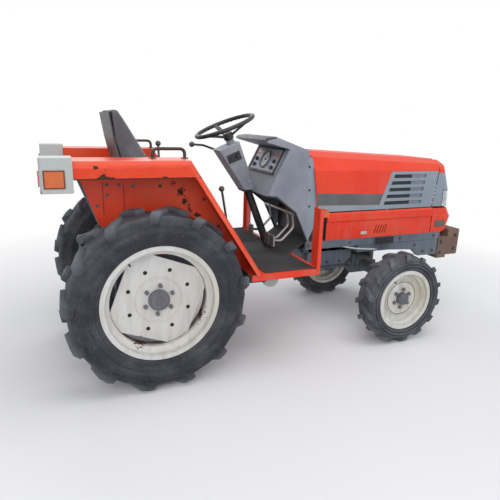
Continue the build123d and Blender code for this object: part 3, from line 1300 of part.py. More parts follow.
def bumper():
    """The lower front, below the nose and on the ends of the rails."""
    outer = plan_loft(BUMPER_FRONT, HOOD_HALF_W, NOSE_CORNER_R, 0)
    low_z = BUMPER_FRONT[0][0]
    top_z = BUMPER_FRONT[-1][0]
    levels = ((low_z - MOVE_GAP, BUMPER_FRONT[0][1]),) + BUMPER_FRONT[1:-1]
    levels += ((top_z + MOVE_GAP, BUMPER_FRONT[-1][1]),)
    cavity = plan_loft(levels, HOOD_HALF_W, NOSE_CORNER_R, NOSE_T)
    rear_x = PANEL_FRONT_X + NOSE_GAP
    rear = block(0, rear_x, -2 * HOOD_HALF_W, 2 * HOOD_HALF_W, 0, 2 * top_z)
    return outer - cavity - rear


def side_panels():
    """Long lower panels with a ledge and five slanted vents, on top of the rails."""
    y = HOOD_HALF_W
    profile = [
        (y - PANEL_T, PANEL_LOW_Z), (y, PANEL_LOW_Z), (y, PANEL_LEDGE_Z - PANEL_LEDGE_OUT),
        (y + PANEL_LEDGE_OUT, PANEL_LEDGE_Z), (y + PANEL_LEDGE_OUT, PANEL_TOP_Z - 2 * PANEL_T),
        (y, PANEL_TOP_Z), (y - PANEL_T, PANEL_TOP_Z),
    ]
    panel = end_prism(profile, PANEL_REAR_X, PANEL_FRONT_X)
    low_z = PANEL_LOW_Z + 24
    for k in range(VENTS):
        x = VENT_X0 + k * VENT_PITCH
        panel -= side_prism([(x, low_z), (x + VENT_W, low_z),
                             (x + VENT_W + VENT_LEAN, low_z + VENT_H),
                             (x + VENT_LEAN, low_z + VENT_H)], y - 2 * PANEL_T, y + PANEL_T)
    return both(panel)


def exhaust_guard():
    """A black slotted guard on the right rail with the outlet behind it."""
    y0 = RAIL_HALF_W
    guard = block(GUARD_X, GUARD_X + GUARD_L, y0, y0 + GUARD_T, RAIL_LOW_Z + PANEL_T,
                  RAIL_TOP_Z - PANEL_T)
    for k in range(GUARD_SLOTS):
        x = GUARD_X + (k + 0.3) * GUARD_L / GUARD_SLOTS
        guard -= block(x, x + GUARD_L / GUARD_SLOTS / 2, y0 + PANEL_T, y0 + GUARD_T,
                       RAIL_LOW_Z + 2 * PANEL_T, RAIL_TOP_Z - 2 * PANEL_T)
    return flip(guard)


def oil_filter():
    y0 = -MID_CASE_HALF_W
    can = cross_rod(FILTER_X, FILTER_Z, FILTER_R, y0 - FILTER_L, y0)
    return fillet(can.edges().filter_by(GeomType.CIRCLE).sort_by(Axis.Y)[0], RIM_T)


def side_box():
    """The black box under the right side of the platform."""
    box = block(BOX_X, BOX_X + BOX_L, -BOX_Y - BOX_W, -BOX_Y, FLOOR_Z - BOX_H, FLOOR_Z)
    return fillet(box.edges().filter_by(Axis.Z), RIM_T)


def front_weights():
    """The cast weight bracket on the rail ends with the plates side by side on its front."""
    x = RAIL_FRONT_X
    side = block(x, x + BRACKET_L, BRACKET_IN_Y, HOOD_HALF_W, BRACKET_LOW_Z, BRACKET_TOP_Z)
    side += block(x, x + PANEL_T, BRACKET_IN_Y, HOOD_HALF_W, BRACKET_TOP_Z, RAIL_TOP_Z)
    unit = both(side)
    unit += block(x + BRACKET_L / 2, x + BRACKET_L, -HOOD_HALF_W, HOOD_HALF_W,
                  BRACKET_LOW_Z + BRACKET_L / 2, BRACKET_TOP_Z - BRACKET_L / 2)
    x0 = x + BRACKET_L
    total = WEIGHTS * WEIGHT_T + (WEIGHTS - 1) * WEIGHT_GAP
    for k in range(WEIGHTS):
        y = -total / 2 + k * (WEIGHT_T + WEIGHT_GAP)
        plate = block(x0, x0 + WEIGHT_L, y, y + WEIGHT_T, WEIGHT_LOW_Z, WEIGHT_TOP_Z)
        unit += fillet(plate.edges().filter_by(Axis.Y).sort_by(Axis.X)[-2:], 2 * RIM_T)
    return unit


# The finished tractor
def build_nodes():
    nodes = {}
    add_wheels(nodes)
    left = knuckle_left()
    nodes["knuckle_left"] = left
    nodes["knuckle_right"] = flip(left)
    for make in (tie_rod, front_axle, front_frame, transmission_case, axle_housings,
                 hitch_brackets, engine_block,
                 floor_plate, fenders, fender_stays, tail_lamps, lamp_lenses, grab_handles,
                 seat_frame, seat_cushion, seat_base, lift_arms, lift_rods, lower_links,
                 pto_shaft, dash_cowl, instrument_panel, steering_wheel, steering_column,
                 control_levers, pedals, hood, hood_louvres, nose_panel, grille, headlamps,
                 bumper, side_panels, oil_filter, side_box, front_weights):
        nodes[make.__name__] = make()
    return nodes


def whole_box(nodes):
    boxes = [shape.bounding_box() for shape in nodes.values()]
    low = [min(getattr(b.min, a) for b in boxes) for a in "XYZ"]
    high = [max(getattr(b.max, a) for b in boxes) for a in "XYZ"]
    return low, high


NODES = build_nodes()
LOW, HIGH = whole_box(NODES)
SHIFT_X = -(LOW[0] + HIGH[0]) / 2
os.makedirs("parts", exist_ok=True)
for name, shape in NODES.items():
    export_step(Pos(SHIFT_X, 0, 0) * shape, os.path.join("parts", name + ".step"))
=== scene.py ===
"""The looks of a compact farm tractor: finishes, small fittings, light and camera."""
import json
import math

import bmesh
import bpy
from mathutils import Matrix, Vector


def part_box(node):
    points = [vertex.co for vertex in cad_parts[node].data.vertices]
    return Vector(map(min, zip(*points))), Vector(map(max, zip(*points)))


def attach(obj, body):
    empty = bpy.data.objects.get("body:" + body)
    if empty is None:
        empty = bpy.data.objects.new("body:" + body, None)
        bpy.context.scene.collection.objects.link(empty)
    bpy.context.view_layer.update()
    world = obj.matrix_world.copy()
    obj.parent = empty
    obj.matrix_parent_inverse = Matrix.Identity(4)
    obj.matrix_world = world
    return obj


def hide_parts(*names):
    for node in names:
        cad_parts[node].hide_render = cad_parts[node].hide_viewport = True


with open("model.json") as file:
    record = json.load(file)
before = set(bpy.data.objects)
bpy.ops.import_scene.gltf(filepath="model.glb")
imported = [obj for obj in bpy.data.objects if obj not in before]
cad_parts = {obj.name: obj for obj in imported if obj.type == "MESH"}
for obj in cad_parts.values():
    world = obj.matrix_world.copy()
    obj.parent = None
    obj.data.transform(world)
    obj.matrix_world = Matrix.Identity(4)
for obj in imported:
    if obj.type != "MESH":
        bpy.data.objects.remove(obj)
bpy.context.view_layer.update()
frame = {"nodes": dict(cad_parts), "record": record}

SIDES = (1, -1)

# Reference places, in metres, read from the frame
LOW = {name: Vector(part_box(name)[0]) for name in frame["nodes"]}
HIGH = {name: Vector(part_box(name)[1]) for name in frame["nodes"]}


def middle(node):
    return (LOW[node] + HIGH[node]) / 2


REAR_HUB = middle("rear_rim_left")
FRONT_HUB = middle("front_rim_left")
REAR_X = REAR_HUB.x
FENDER_Y = HIGH["fenders"].y
FENDER_TOP_Z = HIGH["fenders"].z
WALL_Y = FENDER_Y - 0.210
REAR_FLANGE_R = HIGH["rear_rim_left"].z - REAR_HUB.z
FRONT_FLANGE_R = HIGH["front_rim_left"].z - FRONT_HUB.z

# Faces that several fittings stand on, in metres
FLOOR_TOP_Z = 0.566
FENDER_PANEL_Y = 0.350
FRONT_FACE_Y = 0.2378
FRONT_TRIM_Y = 0.2389
COWL_SIDE_Y = 0.2272
RAIL_SIDE_Y = 0.236
CASTING_Y = 0.232
REAR_CASE_Y = 0.135
GEAR_CASE_Y = 0.110
ENGINE_PLATE_Y = 0.150
REAR_CASE_BACK_X = -0.165


def at(x, y, z):
    """A place whose x is measured forward from the rear axle line."""
    return Vector((REAR_X + x, y, z))


def add_object(name, data):
    thing = bpy.data.objects.new(name, data)
    bpy.context.scene.collection.objects.link(thing)
    return thing


# Colours as they look, in ordinary screen values
ORANGE = (210, 54, 16)
ORANGE_PALE = (222, 84, 52)
RED = (214, 42, 6)
RED_PALE = (224, 68, 38)
CASE_BLUE = (92, 104, 118)
CASE_DARK = (60, 68, 78)
TRIM = (118, 124, 136)
TRIM_DARK = (66, 68, 74)
LOUVRE = (124, 136, 148)
LAMP_GREY = (170, 176, 174)
WHITE = (206, 206, 205)
WHITE_AGED = (196, 192, 182)
CREAM = (200, 197, 180)
TYRE = (44, 46, 52)
TYRE_DUST = (88, 90, 96)
BLACK = (38, 38, 42)
SEAT = (72, 74, 80)
BROWN = (58, 40, 36)
RUST = (110, 58, 34)
RUST_DARK = (58, 36, 28)
IRON = (104, 84, 74)
DUST = (142, 132, 120)
AMBER = (192, 88, 10)
LENS_RED = (170, 24, 22)
STEEL = (168, 168, 168)
DIAL = (206, 212, 220)
# Light grey of the tread bars: dust and a painted highlight
TREAD_DUST_AND_HIGHLIGHT = (112, 116, 124)
# Dark red painted in the fender's pressed lines as the shade in their creases
PRESSED_LINE_SHADE = (142, 38, 18)


def linear(colour):
    """A screen colour as the renderer's linear red, green, blue and alpha."""
    channels = []
    for value in colour:
        share = value / 255
        channels.append(share / 12.92 if share < 0.04045 else ((share + 0.055) / 1.055) ** 2.4)
    return (*channels, 1.0)


# Shader building blocks
def add_node(tree, kind, inputs=None, **settings):
    node = tree.nodes.new("ShaderNode" + kind)
    for name, value in settings.items():
        setattr(node, name, value)
    for key, value in (inputs or {}).items():
        if isinstance(value, bpy.types.NodeSocket):
            tree.links.new(value, node.inputs[key])
        else:
            node.inputs[key].default_value = value
    return node


def noise(tree, place, scale, detail=5.0, rough=0.55):
    node = add_node(tree, "TexNoise", {"Vector": place, "Scale": scale, "Detail": detail,
                                       "Roughness": rough})
    return node.outputs[0]


def ramp(tree, value, start, end, low=0.0, high=1.0):
    """value carried from start..end to low..high, and kept inside them."""
    node = add_node(tree, "MapRange", {0: value, 1: start, 2: end, 3: low, 4: high})
    return node.outputs[0]


def maths(tree, operation, a, b=0.0):
    node = add_node(tree, "Math", {0: a, 1: b}, operation=operation)
    return node.outputs[0]


def times(tree, a, b):
    return maths(tree, "MULTIPLY", a, b)


def mixed(tree, share, first, second):
    node = add_node(tree, "Mix", {0: share, 6: first, 7: second}, data_type="RGBA")
    return node.outputs[2]


def blank(name):
    """A new material with its tree, its shader and its object-space coordinates."""
    material = bpy.data.materials.new(name)
    material.use_nodes = True
    tree = material.node_tree
    shader = tree.nodes["Principled BSDF"]
    place = add_node(tree, "TexCoord").outputs["Object"]
    return material, tree, shader, place


def bump(tree, shader, height, strength, distance):
    node = add_node(tree, "Bump", {"Strength": strength, "Distance": distance, "Height": height})
    tree.links.new(node.outputs[0], shader.inputs["Normal"])


def spot_mask(tree, place, spots):
    """1 at the middle of each (place, radius) spot and 0 past its edge."""
    total = None
    for centre, radius in spots:
        away = add_node(tree, "VectorMath", {0: place, 1: centre}, operation="DISTANCE").outputs[1]
        near = ramp(tree, away, 0.0, radius, 1.0, 0.0)
        total = near if total is None else maths(tree, "MAXIMUM", total, near)
    return total


def worn(name, colour, pale, rough=0.4, chips=0.35, dirt=0.5, under=RUST_DARK, metal=0.0,
         spots=(), line_z=None, lower=None, inside=None):
    """Faded and chipped paint or plastic with dust from the ground, and painted top light: faces
    that point up are shifted towards the pale colour.

    spots are (place, radius) patches of heavier chips, line_z the height of a chipped edge,
    lower a (colour, height) pair for what lies below that height, and inside the distance
    from the middle plane within which the surface is darkened to a dark brown.
    """
    material, tree, shader, place = blank(name)
    cloud = noise(tree, place, 2.6, 6.0)
    base = mixed(tree, ramp(tree, cloud, 0.38, 0.68), linear(colour), linear(pale))
    normal = add_node(tree, "NewGeometry").outputs["Normal"]
    up = add_node(tree, "SeparateXYZ", {0: normal}).outputs[2]
    # Painted top light: faces that point up are mixed towards the pale colour, as if lit from
    # above.
    painted_top_light = times(tree, ramp(tree, up, 0.2, 1.0), 0.55)
    base = mixed(tree, painted_top_light, base, linear(pale))
    height = add_node(tree, "SeparateXYZ", {0: place}).outputs[2]
    if lower:
        below, limit = lower
        base = mixed(tree, ramp(tree, height, limit + 0.001, limit), base, linear(below))
    streak_place = add_node(tree, "Mapping", {0: place, 3: (9.0, 9.0, 1.6)}).outputs[0]
    streak = noise(tree, streak_place, 3.0, 6.0)
    low = ramp(tree, height, 1.1, 0.2, 0.15, 1.0)
    film = times(tree, ramp(tree, streak, 0.44, 0.72), low)
    film = times(tree, film, dirt)
    base = mixed(tree, film, base, linear(DUST))
    # Surfaces nearer the middle plane than inside are darkened to a dark brown.
    if inside is not None:
        across = add_node(tree, "SeparateXYZ", {0: place}).outputs[1]
        depth = ramp(tree, maths(tree, "ABSOLUTE", across), inside, inside - 0.004, 0.0, 0.82)
        base = mixed(tree, depth, base, linear(RUST_DARK))
    fine = noise(tree, place, 85.0, 4.0, 0.6)
    broad = noise(tree, place, 11.0, 5.0, 0.6)
    wear = maths(tree, "ADD", times(tree, fine, 0.45), times(tree, broad, 0.55))
    edge = 0.745 - 0.12 * chips
    if spots:
        wear = maths(tree, "ADD", wear, times(tree, spot_mask(tree, place, spots), 0.26))
    if line_z is not None:
        off = maths(tree, "ABSOLUTE", maths(tree, "SUBTRACT", height, line_z))
        near = ramp(tree, off, 0.0, 0.012, 0.2, 0.0)
        wear = maths(tree, "ADD", wear, near)
    bare = ramp(tree, wear, edge, edge + 0.012)
    rim = ramp(tree, wear, edge - 0.03, edge)
    halo = times(tree, rim, 0.35)
    base = mixed(tree, halo, base, linear(RUST))
    base = mixed(tree, bare, base, linear(under))
    tree.links.new(base, shader.inputs["Base Color"])
    gloss = maths(tree, "ADD", ramp(tree, cloud, 0.3, 0.7, rough - 0.08, rough + 0.1),
                  times(tree, film, 0.4))
    tree.links.new(maths(tree, "MAXIMUM", gloss, times(tree, bare, 0.85)),
                   shader.inputs["Roughness"])
    shader.inputs["Metallic"].default_value = metal
    shader.inputs["Specular IOR Level"].default_value = 0.36
    relief = maths(tree, "SUBTRACT", times(tree, cloud, 0.5), times(tree, bare, 0.4))
    bump(tree, shader, relief, 0.25, 0.004)
    return material


def rubber(name, hub, tread_r):
    """Tyre rubber: dusty, with the tread bars lighter as dust and a painted highlight, and fine
    cracks and scuffs.
    """
    material, tree, shader, place = blank(name)
    flat = add_node(tree, "VectorMath", {0: place, 1: (1.0, 0.0, 1.0)}, operation="MULTIPLY")
    centre = (hub.x, 0.0, hub.z)
    radius = add_node(tree, "VectorMath", {0: flat.outputs[0], 1: centre},
                      operation="DISTANCE").outputs[1]
    cloud = noise(tree, place, 7.0, 7.0, 0.6)
    fine = noise(tree, place, 120.0, 3.0)
    dust = times(tree, ramp(tree, cloud, 0.42, 0.72), 0.6)
    base = mixed(tree, dust, linear(TYRE), linear(TYRE_DUST))
    base = mixed(tree, ramp(tree, fine, 0.6, 0.72, 0.0, 0.3), base, linear(DUST))
    # Tread bars lighter towards the outer radius: partly dust, partly a painted highlight on their
    # tops and edges.
    tread = ramp(tree, radius, tread_r - 0.045, tread_r - 0.004, 0.0, 0.75)
    tread = times(tree, tread, ramp(tree, cloud, 0.3, 0.62, 0.35, 1.0))
    base = mixed(tree, tread, base, linear(TREAD_DUST_AND_HIGHLIGHT))
    tree.links.new(base, shader.inputs["Base Color"])
    shader.inputs["Roughness"].default_value = 0.78
    shader.inputs["Specular IOR Level"].default_value = 0.35
    bump(tree, shader, maths(tree, "ADD", times(tree, fine, 0.3), cloud), 0.3, 0.003)
    return material


def plain(name, colour, rough=0.5, metal=0.0, grain=60.0, depth=0.1):
    """A smaller piece's finish, with a little unevenness of tone and surface."""
    material, tree, shader, place = blank(name)
    speck = noise(tree, place, grain, 4.0)
    broad = noise(tree, place, 5.0, 4.0)
    dark = tuple(0.72 * value for value in colour)
    base = mixed(tree, ramp(tree, broad, 0.35, 0.7), linear(colour), linear(dark))
    tree.links.new(base, shader.inputs["Base Color"])
    gloss = ramp(tree, speck, 0.3, 0.7, rough - 0.06, rough + 0.08)
    tree.links.new(gloss, shader.inputs["Roughness"])
    shader.inputs["Metallic"].default_value = metal
    bump(tree, shader, speck, depth, 0.002)
    return material


def vinyl(name, colour):
    """Grained seat covering, worn paler where it is sat on."""
    material, tree, shader, place = blank(name)
    cells = add_node(tree, "TexVoronoi", {"Vector": place, "Scale": 260.0})
    broad = noise(tree, place, 6.0, 5.0)
    pale = tuple(min(255, 1.35 * value) for value in colour)
    base = mixed(tree, ramp(tree, broad, 0.4, 0.7), linear(colour), linear(pale))
    tree.links.new(base, shader.inputs["Base Color"])
    shader.inputs["Roughness"].default_value = 0.52
    bump(tree, shader, cells.outputs["Distance"], 0.3, 0.0015)
    return material


def glass(name, colour, rough, alpha):
    material, tree, shader, place = blank(name)
    shader.inputs["Base Color"].default_value = linear(colour)
    shader.inputs["Roughness"].default_value = rough
    shader.inputs["Alpha"].default_value = alpha
    shader.inputs["Coat Weight"].default_value = 0.6
    wave = add_node(tree, "TexWave", {"Vector": place, "Scale": 60.0}, bands_direction="Z")
    bump(tree, shader, wave.outputs[0], 0.25, 0.001)
    return material


FENDER_SPOTS = [(at(x, side * (WALL_Y + 0.004), z), r) for side in SIDES for x, z, r in (
    (0.113, 1.034, 0.05), (0.149, 0.992, 0.055), (0.175, 0.944, 0.05), (0.202, 0.906, 0.04),
    (0.245, 0.861, 0.045), (0.296, 0.821, 0.04))]
FENDER_SPOTS += [(at(x, side * FENDER_Y, z), r) for side in SIDES for x, z, r in (
    (-0.272, 1.139, 0.03), (-0.245, 1.105, 0.05), (0.02, 1.10, 0.04))]
RIM_SPOTS = [(REAR_HUB + Vector((0.21, 0, -0.12)), 0.12),
             (REAR_HUB + Vector((-0.1, 0, -0.22)), 0.09)]
RIM_SPOTS += [(Vector((c.x, -c.y, c.z)), r) for c, r in RIM_SPOTS]

MATERIALS = {
    "body_orange": worn("fender paint", ORANGE, ORANGE_PALE, 0.38, 0.42, 0.35, spots=FENDER_SPOTS,
                        line_z=FENDER_TOP_Z - 0.078),
    "body_red": worn("body paint", RED, RED_PALE, 0.34, 0.30, 0.4),
    "case_grey": worn("case paint", CASE_BLUE, CASE_DARK, 0.5, 0.5, 0.42),
    "engine_grey": worn("engine iron", CASE_DARK, CASE_BLUE, 0.6, 0.5, 0.4),
    "trim_grey": worn("moulded trim", TRIM, (156, 160, 168), 0.55, 0.12, 0.35, under=TRIM_DARK),
    "louvre_grey": worn("louvre plastic", LOUVRE, (142, 154, 164), 0.5, 0.15, 0.3, under=TRIM_DARK),
    "lamp_grey": worn("lamp plastic", LAMP_GREY, (190, 194, 190), 0.5, 0.18, 0.3, under=TRIM_DARK),
    "rim_white": worn("rear rim paint", WHITE, WHITE_AGED, 0.45, 0.42, 0.4, spots=RIM_SPOTS,
                      inside=REAR_HUB.y - 0.001),
    "rim_cream": worn("front rim paint", CREAM, WHITE, 0.45, 0.42, 0.5),
    "rust_iron": worn("rusty weights", IRON, (124, 100, 86), 0.8, 1.1, 0.3, under=RUST),
    "tyre": rubber("rear tyre rubber", REAR_HUB, REAR_HUB.z),
    "front_tyre": rubber("front tyre rubber", FRONT_HUB, FRONT_HUB.z),
    "hub_grey": worn("hub paint", (98, 100, 110), (82, 82, 90), 0.5, 0.5, 0.4, under=RUST),
    "worn_edge": worn("worn lip", (56, 30, 22), (96, 44, 28), 0.8, 0.9, 0.2, under=RUST),
    "panel_face": plain("panel face", (170, 180, 196), 0.25),
    # The pressed lines' dark red is painted shade.
    "pressed_line_shade": plain("pressed line", PRESSED_LINE_SHADE, 0.5),
    "black_plastic": plain("black plastic", BLACK, 0.45),
    "handle_brown": plain("coated handle", BROWN, 0.5),
    "seat_vinyl": vinyl("seat vinyl", SEAT),
    "dark_steel": worn("dull steel", (92, 90, 88), (70, 66, 62), 0.5, 0.6, 0.5, under=RUST,
                       metal=0.6),
    "bright_steel": worn("bare steel", STEEL, (140, 138, 134), 0.4, 0.35, 0.3, under=RUST,
                         metal=0.7),
    "lens_amber": glass("amber lens", AMBER, 0.25, 1.0),
    "lamp_glass": glass("headlamp glass", (196, 204, 210), 0.12, 0.42),
    "lens_red": glass("red lens", LENS_RED, 0.25, 1.0),
    # Near-black painted shade: in the rear disc holes, at the front disc step and behind the
    # exhaust grille
    "seam": plain("painted shade black", (26, 24, 26), 0.8),
    "dial": plain("dial face", DIAL, 0.3),
    "reflector": plain("lamp reflector", (206, 208, 210), 0.15, 0.9),
    "mat": plain("floor rubber", (54, 54, 56), 0.8, depth=0.3),
    "shell": plain("seat shell", (92, 94, 100), 0.5),
    "nose_two_tone": worn("nose paint", RED, RED_PALE, 0.34, 0.3, 0.3, lower=(LOUVRE, 1.052)),
    "column_two_tone": worn("column plastic", TRIM, (156, 160, 168), 0.55, 0.12, 0.35,
                            under=TRIM_DARK, lower=((30, 30, 34), 0.948)),
    "trim_dark": plain("visor plastic", TRIM_DARK, 0.5),
    "band_dark": plain("hood band", (92, 94, 98), 0.35),
    # Near-black behind the hood louvres: painted shade, with a fine grain
    "louvre_backing_shade": plain("louvre backing shade", (34, 38, 42), 0.7, grain=300.0, depth=0.6),
    "lens_rim": plain("lens rim", (120, 48, 26), 0.4),
    "marker": plain("marker face", (96, 78, 66), 0.35),
}

OWN_FINISH = {"nose_panel": "nose_two_tone", "steering_column": "column_two_tone",
              "instrument_panel": "panel_face"}
for way in ("left", "right"):
    OWN_FINISH["front_tyre_" + way] = "front_tyre"
    OWN_FINISH["rear_hub_" + way] = "hub_grey"
    OWN_FINISH["front_hub_" + way] = "hub_grey"

# Finishes of the frame's own pieces
NODE_SLOT = {row["node"]: row["material_slot"] for row in frame["record"]["subparts"]}
for name, node in frame["nodes"].items():
    node.data.materials.clear()
    node.data.materials.append(MATERIALS[OWN_FINISH.get(name, NODE_SLOT[name])])


def soften(mesh, limit):
    """Smooth shading across edges flatter than the limit, for a faceted casing."""
    corners = [(face, tuple(round(v, 5) for v in mesh.vertices[index].co))
               for face in mesh.polygons for index in face.vertices]
    at_point = {}
    for face, key in corners:
        at_point.setdefault(key, []).append((face.normal.copy(), face.area))
    normals = []
    for face, key in corners:
        total = Vector()
        for normal, area in at_point[key]:
            if face.normal.angle(normal, 0.0) < limit:
                total += normal * area
        normals.append(total.normalized())
    for face in mesh.polygons:
        face.use_smooth = True
    mesh.normals_split_custom_set(normals)


for name, node in frame["nodes"].items():
    if name.endswith(("tyre_left", "tyre_right")):
        soften(node.data, math.radians(30))


def finish_piece(name, shape, finish, body):
    """An object made of a mesh or curve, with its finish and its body."""
    piece = add_object(name, shape)
    shape.materials.append(MATERIALS[finish])
    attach(piece, body)


def from_bmesh(name, work, finish, body="chassis", smooth=False):
    """The mesh being built, ended and made a piece."""
    mesh = bpy.data.meshes.new(name)
    work.to_mesh(mesh)
    work.free()
    if smooth:
        for face in mesh.polygons:
            face.use_smooth = True
        mesh.set_sharp_from_angle(angle=math.radians(40))
    finish_piece(name, mesh, finish, body)


def facing(axis):
    """A turn that carries +Z onto an axis."""
    return Vector((0, 0, 1)).rotation_difference(Vector(axis)).to_matrix().to_4x4()


def put_box(work, centre, size, edge=0.0, turn=None):
    """Adds a box, with its edges bevelled, to a mesh being built."""
    place = Matrix.Translation(centre) @ (turn or Matrix.Identity(4)) @ Matrix.Diagonal((*size, 1))
    made = bmesh.ops.create_cube(work, size=1.0, matrix=place)
    if edge:
        edges = {e for v in made["verts"] for e in v.link_edges}
        bmesh.ops.bevel(work, geom=list(edges), offset=edge, segments=2, affect="EDGES",
                        profile=0.6)


def put_disc(work, centre, axis, radius, height, sides=24, top=None):
    """Adds a round or many-sided block whose base is at centre."""
    place = Matrix.Translation(centre + Vector(axis) * height / 2) @ facing(axis)
    bmesh.ops.create_cone(work, cap_ends=True, segments=sides, radius1=radius,
                          radius2=radius if top is None else top, depth=height, matrix=place)


def boxes(name, rows, finish, edge=0.001):
    """One piece of the chassis made of several boxes, each a (centre, size) pair."""
    work = bmesh.new()
    for centre, size in rows:
        put_box(work, Vector(centre), size, edge)
    from_bmesh(name, work, finish)


def bolts(name, rows, finish, radius, height, washer=1.5):
    """Hexagon heads on washers on the chassis, for each (place, axis) pair."""
    work = bmesh.new()
    for place, axis in rows:
        axis = Vector(axis).normalized()
        put_disc(work, place, axis, radius * washer, height * 0.3, 20)
        put_disc(work, place + axis * height * 0.3, axis, radius, height, 6, radius * 0.92)
    from_bmesh(name, work, finish, smooth=True)


def tube(name, points, radius, finish, body="chassis", smooth=True):
    """A round bar, pipe or bead along a line of places."""
    curve = bpy.data.curves.new(name, "CURVE")
    curve.dimensions = "3D"
    curve.bevel_depth = radius
    curve.bevel_resolution = 3
    curve.resolution_u = 6
    spline = curve.splines.new("NURBS" if smooth else "POLY")
    spline.points.add(len(points) - 1)
    for point, place in zip(spline.points, points):
        point.co = (*place, 1)
    spline.use_endpoint_u = True
    spline.order_u = 3
    curve.use_fill_caps = True
    finish_piece(name, curve, finish, body)


def hoop(name, centre, axis, radius, thick, finish, body="chassis"):
    """A ring about an axis."""
    work = bmesh.new()
    steps = 72
    around = 8
    turn = Matrix.Translation(centre) @ facing(axis)
    grid = []
    for i in range(steps):
        a = 2 * math.pi * i / steps
        row = []
        for j in range(around):
            b = 2 * math.pi * j / around
            r = radius + thick * math.cos(b)
            row.append(work.verts.new(turn @ Vector((r * math.cos(a), r * math.sin(a),
                                                     thick * math.sin(b)))))
        grid.append(row)
    for i in range(steps):
        for j in range(around):
            k = (i + 1) % steps
            m = (j + 1) % around
            work.faces.new((grid[i][j], grid[k][j], grid[k][m], grid[i][m]))
    from_bmesh(name, work, finish, body, smooth=True)


def plate(name, outline, y0, y1, finish, body="chassis", edge=0.0008):
    """An outline of (x, z) places, x from the rear axle, given its thickness along Y."""
    work = bmesh.new()
    ring = [work.verts.new(at(x, y0, z)) for x, z in outline]
    face = work.faces.new(ring)
    grown = bmesh.ops.extrude_face_region(work, geom=[face])
    moved = [item for item in grown["geom"] if isinstance(item, bmesh.types.BMVert)]
    bmesh.ops.translate(work, verts=moved, vec=(0, y1 - y0, 0))
    bmesh.ops.recalc_face_normals(work, faces=work.faces)
    bmesh.ops.bevel(work, geom=list(work.edges), offset=edge, segments=1, affect="EDGES")
    from_bmesh(name, work, finish, body)


def side_name(side):
    return "left" if side > 0 else "right"


# Wheels: kind, hub, flange radius, half the rim's width, rim finish, and the radius and
# distance from the wheel's middle of each wall ring
WHEELS = (
    ("rear", REAR_HUB, REAR_FLANGE_R, 0.080, "rim_white",
     ((0.318, 0.0872), (0.352, 0.0985), (0.398, 0.0995))),
    ("front", FRONT_HUB, FRONT_FLANGE_R, 0.070, "rim_cream",
     ((0.208, 0.0742), (0.229, 0.0802), (0.247, 0.0778))),
)


def wheel_details():
    """Wall rings, rim lips and valves."""
    for side in SIDES:
        way = side_name(side)
        out = Vector((0, side, 0))
        for kind, hub, flange, half_rim, rim, rings in WHEELS:
            body = kind + "_wheel_" + way
            centre = Vector((hub.x, side * hub.y, hub.z))
            for k, (radius, depth) in enumerate(rings):
                hoop(f"{kind}_sidewall_ring_{k}_{way}", centre + out * depth, out, radius, 0.0028,
                     "tyre", body)
            hoop(f"{kind}_rim_lip_{way}", centre + out * (half_rim - 0.0035), out, flange - 0.0025,
                 0.0034, rim, body)
            hoop(f"{kind}_inner_rim_lip_{way}", centre - out * (half_rim - 0.0035), out,
                 flange - 0.0025, 0.0034, rim, body)
            stem = centre + Vector((-0.55, 0, 0.78)).normalized() * (flange - 0.045)
            tube(f"{kind}_valve_{way}", [stem + out * 0.028, stem + out * 0.045,
                                         stem + out * 0.062], 0.0045, "black_plastic", body)


def rear_disc_details(side):
    """Cap, bead and edge gap of one rear disc, and near-black discs painted on it as the shade in
    its holes.
    """
    way = side_name(side)
    out = Vector((0, side, 0))
    face = Vector((REAR_HUB.x, side * (REAR_HUB.y + 0.006), REAR_HUB.z))
    cap = face + out * 0.017
    work = bmesh.new()
    put_disc(work, cap, out, 0.046, 0.004, 40, 0.042)
    put_disc(work, cap + out * 0.004, out, 0.020, 0.005, 32, 0.017)
    from_bmesh(f"rear_cap_{way}", work, "hub_grey", "rear_wheel_" + way,
               smooth=True)
    hoop(f"rear_disc_bead_{way}", face + out * 0.0005, out, 0.118, 0.0045, "rim_white",
         "rear_wheel_" + way)
    hoop(f"rear_disc_gap_{way}", face - out * 0.001, out, 0.2475, 0.0026, "worn_edge",
         "rear_wheel_" + way)
    # Near-black discs painted as the shade seen in the disc's holes
    work = bmesh.new()
    for k in range(8):
        turn = math.radians(24 + 45 * k)
        spot = face + Vector((0.162 * math.cos(turn), 0, 0.162 * math.sin(turn)))
        put_disc(work, spot - out * 0.001, out, 0.0105, 0.0016, 24)
    from_bmesh(f"rear_disc_hole_shade_{way}", work, "seam", "rear_wheel_" + way)


def front_disc_details(side):
    """Cap of one front disc, and a dark ring painted at its pressed step as shade."""
    way = side_name(side)
    out = Vector((0, side, 0))
    front_cap = Vector((FRONT_HUB.x, side * (FRONT_HUB.y + 0.049), FRONT_HUB.z))
    work = bmesh.new()
    put_disc(work, front_cap, out, 0.034, 0.003, 40, 0.030)
    for k in range(4):
        turn = math.radians(45 + 90 * k)
        spot = front_cap + Vector((0.026 * math.cos(turn), 0, 0.026 * math.sin(turn)))
        put_disc(work, spot + out * 0.002, out, 0.0045, 0.003, 6)
    from_bmesh(f"front_cap_{way}", work, "hub_grey", "front_wheel_" + way,
               smooth=True)
    face = Vector((FRONT_HUB.x, side * (FRONT_HUB.y + 0.0262), FRONT_HUB.z))
    # A near-black ring painted at the pressed step as its shade
    hoop(f"front_disc_step_shade_{way}", face, out, 0.108, 0.0022, "seam", "front_wheel_" + way)


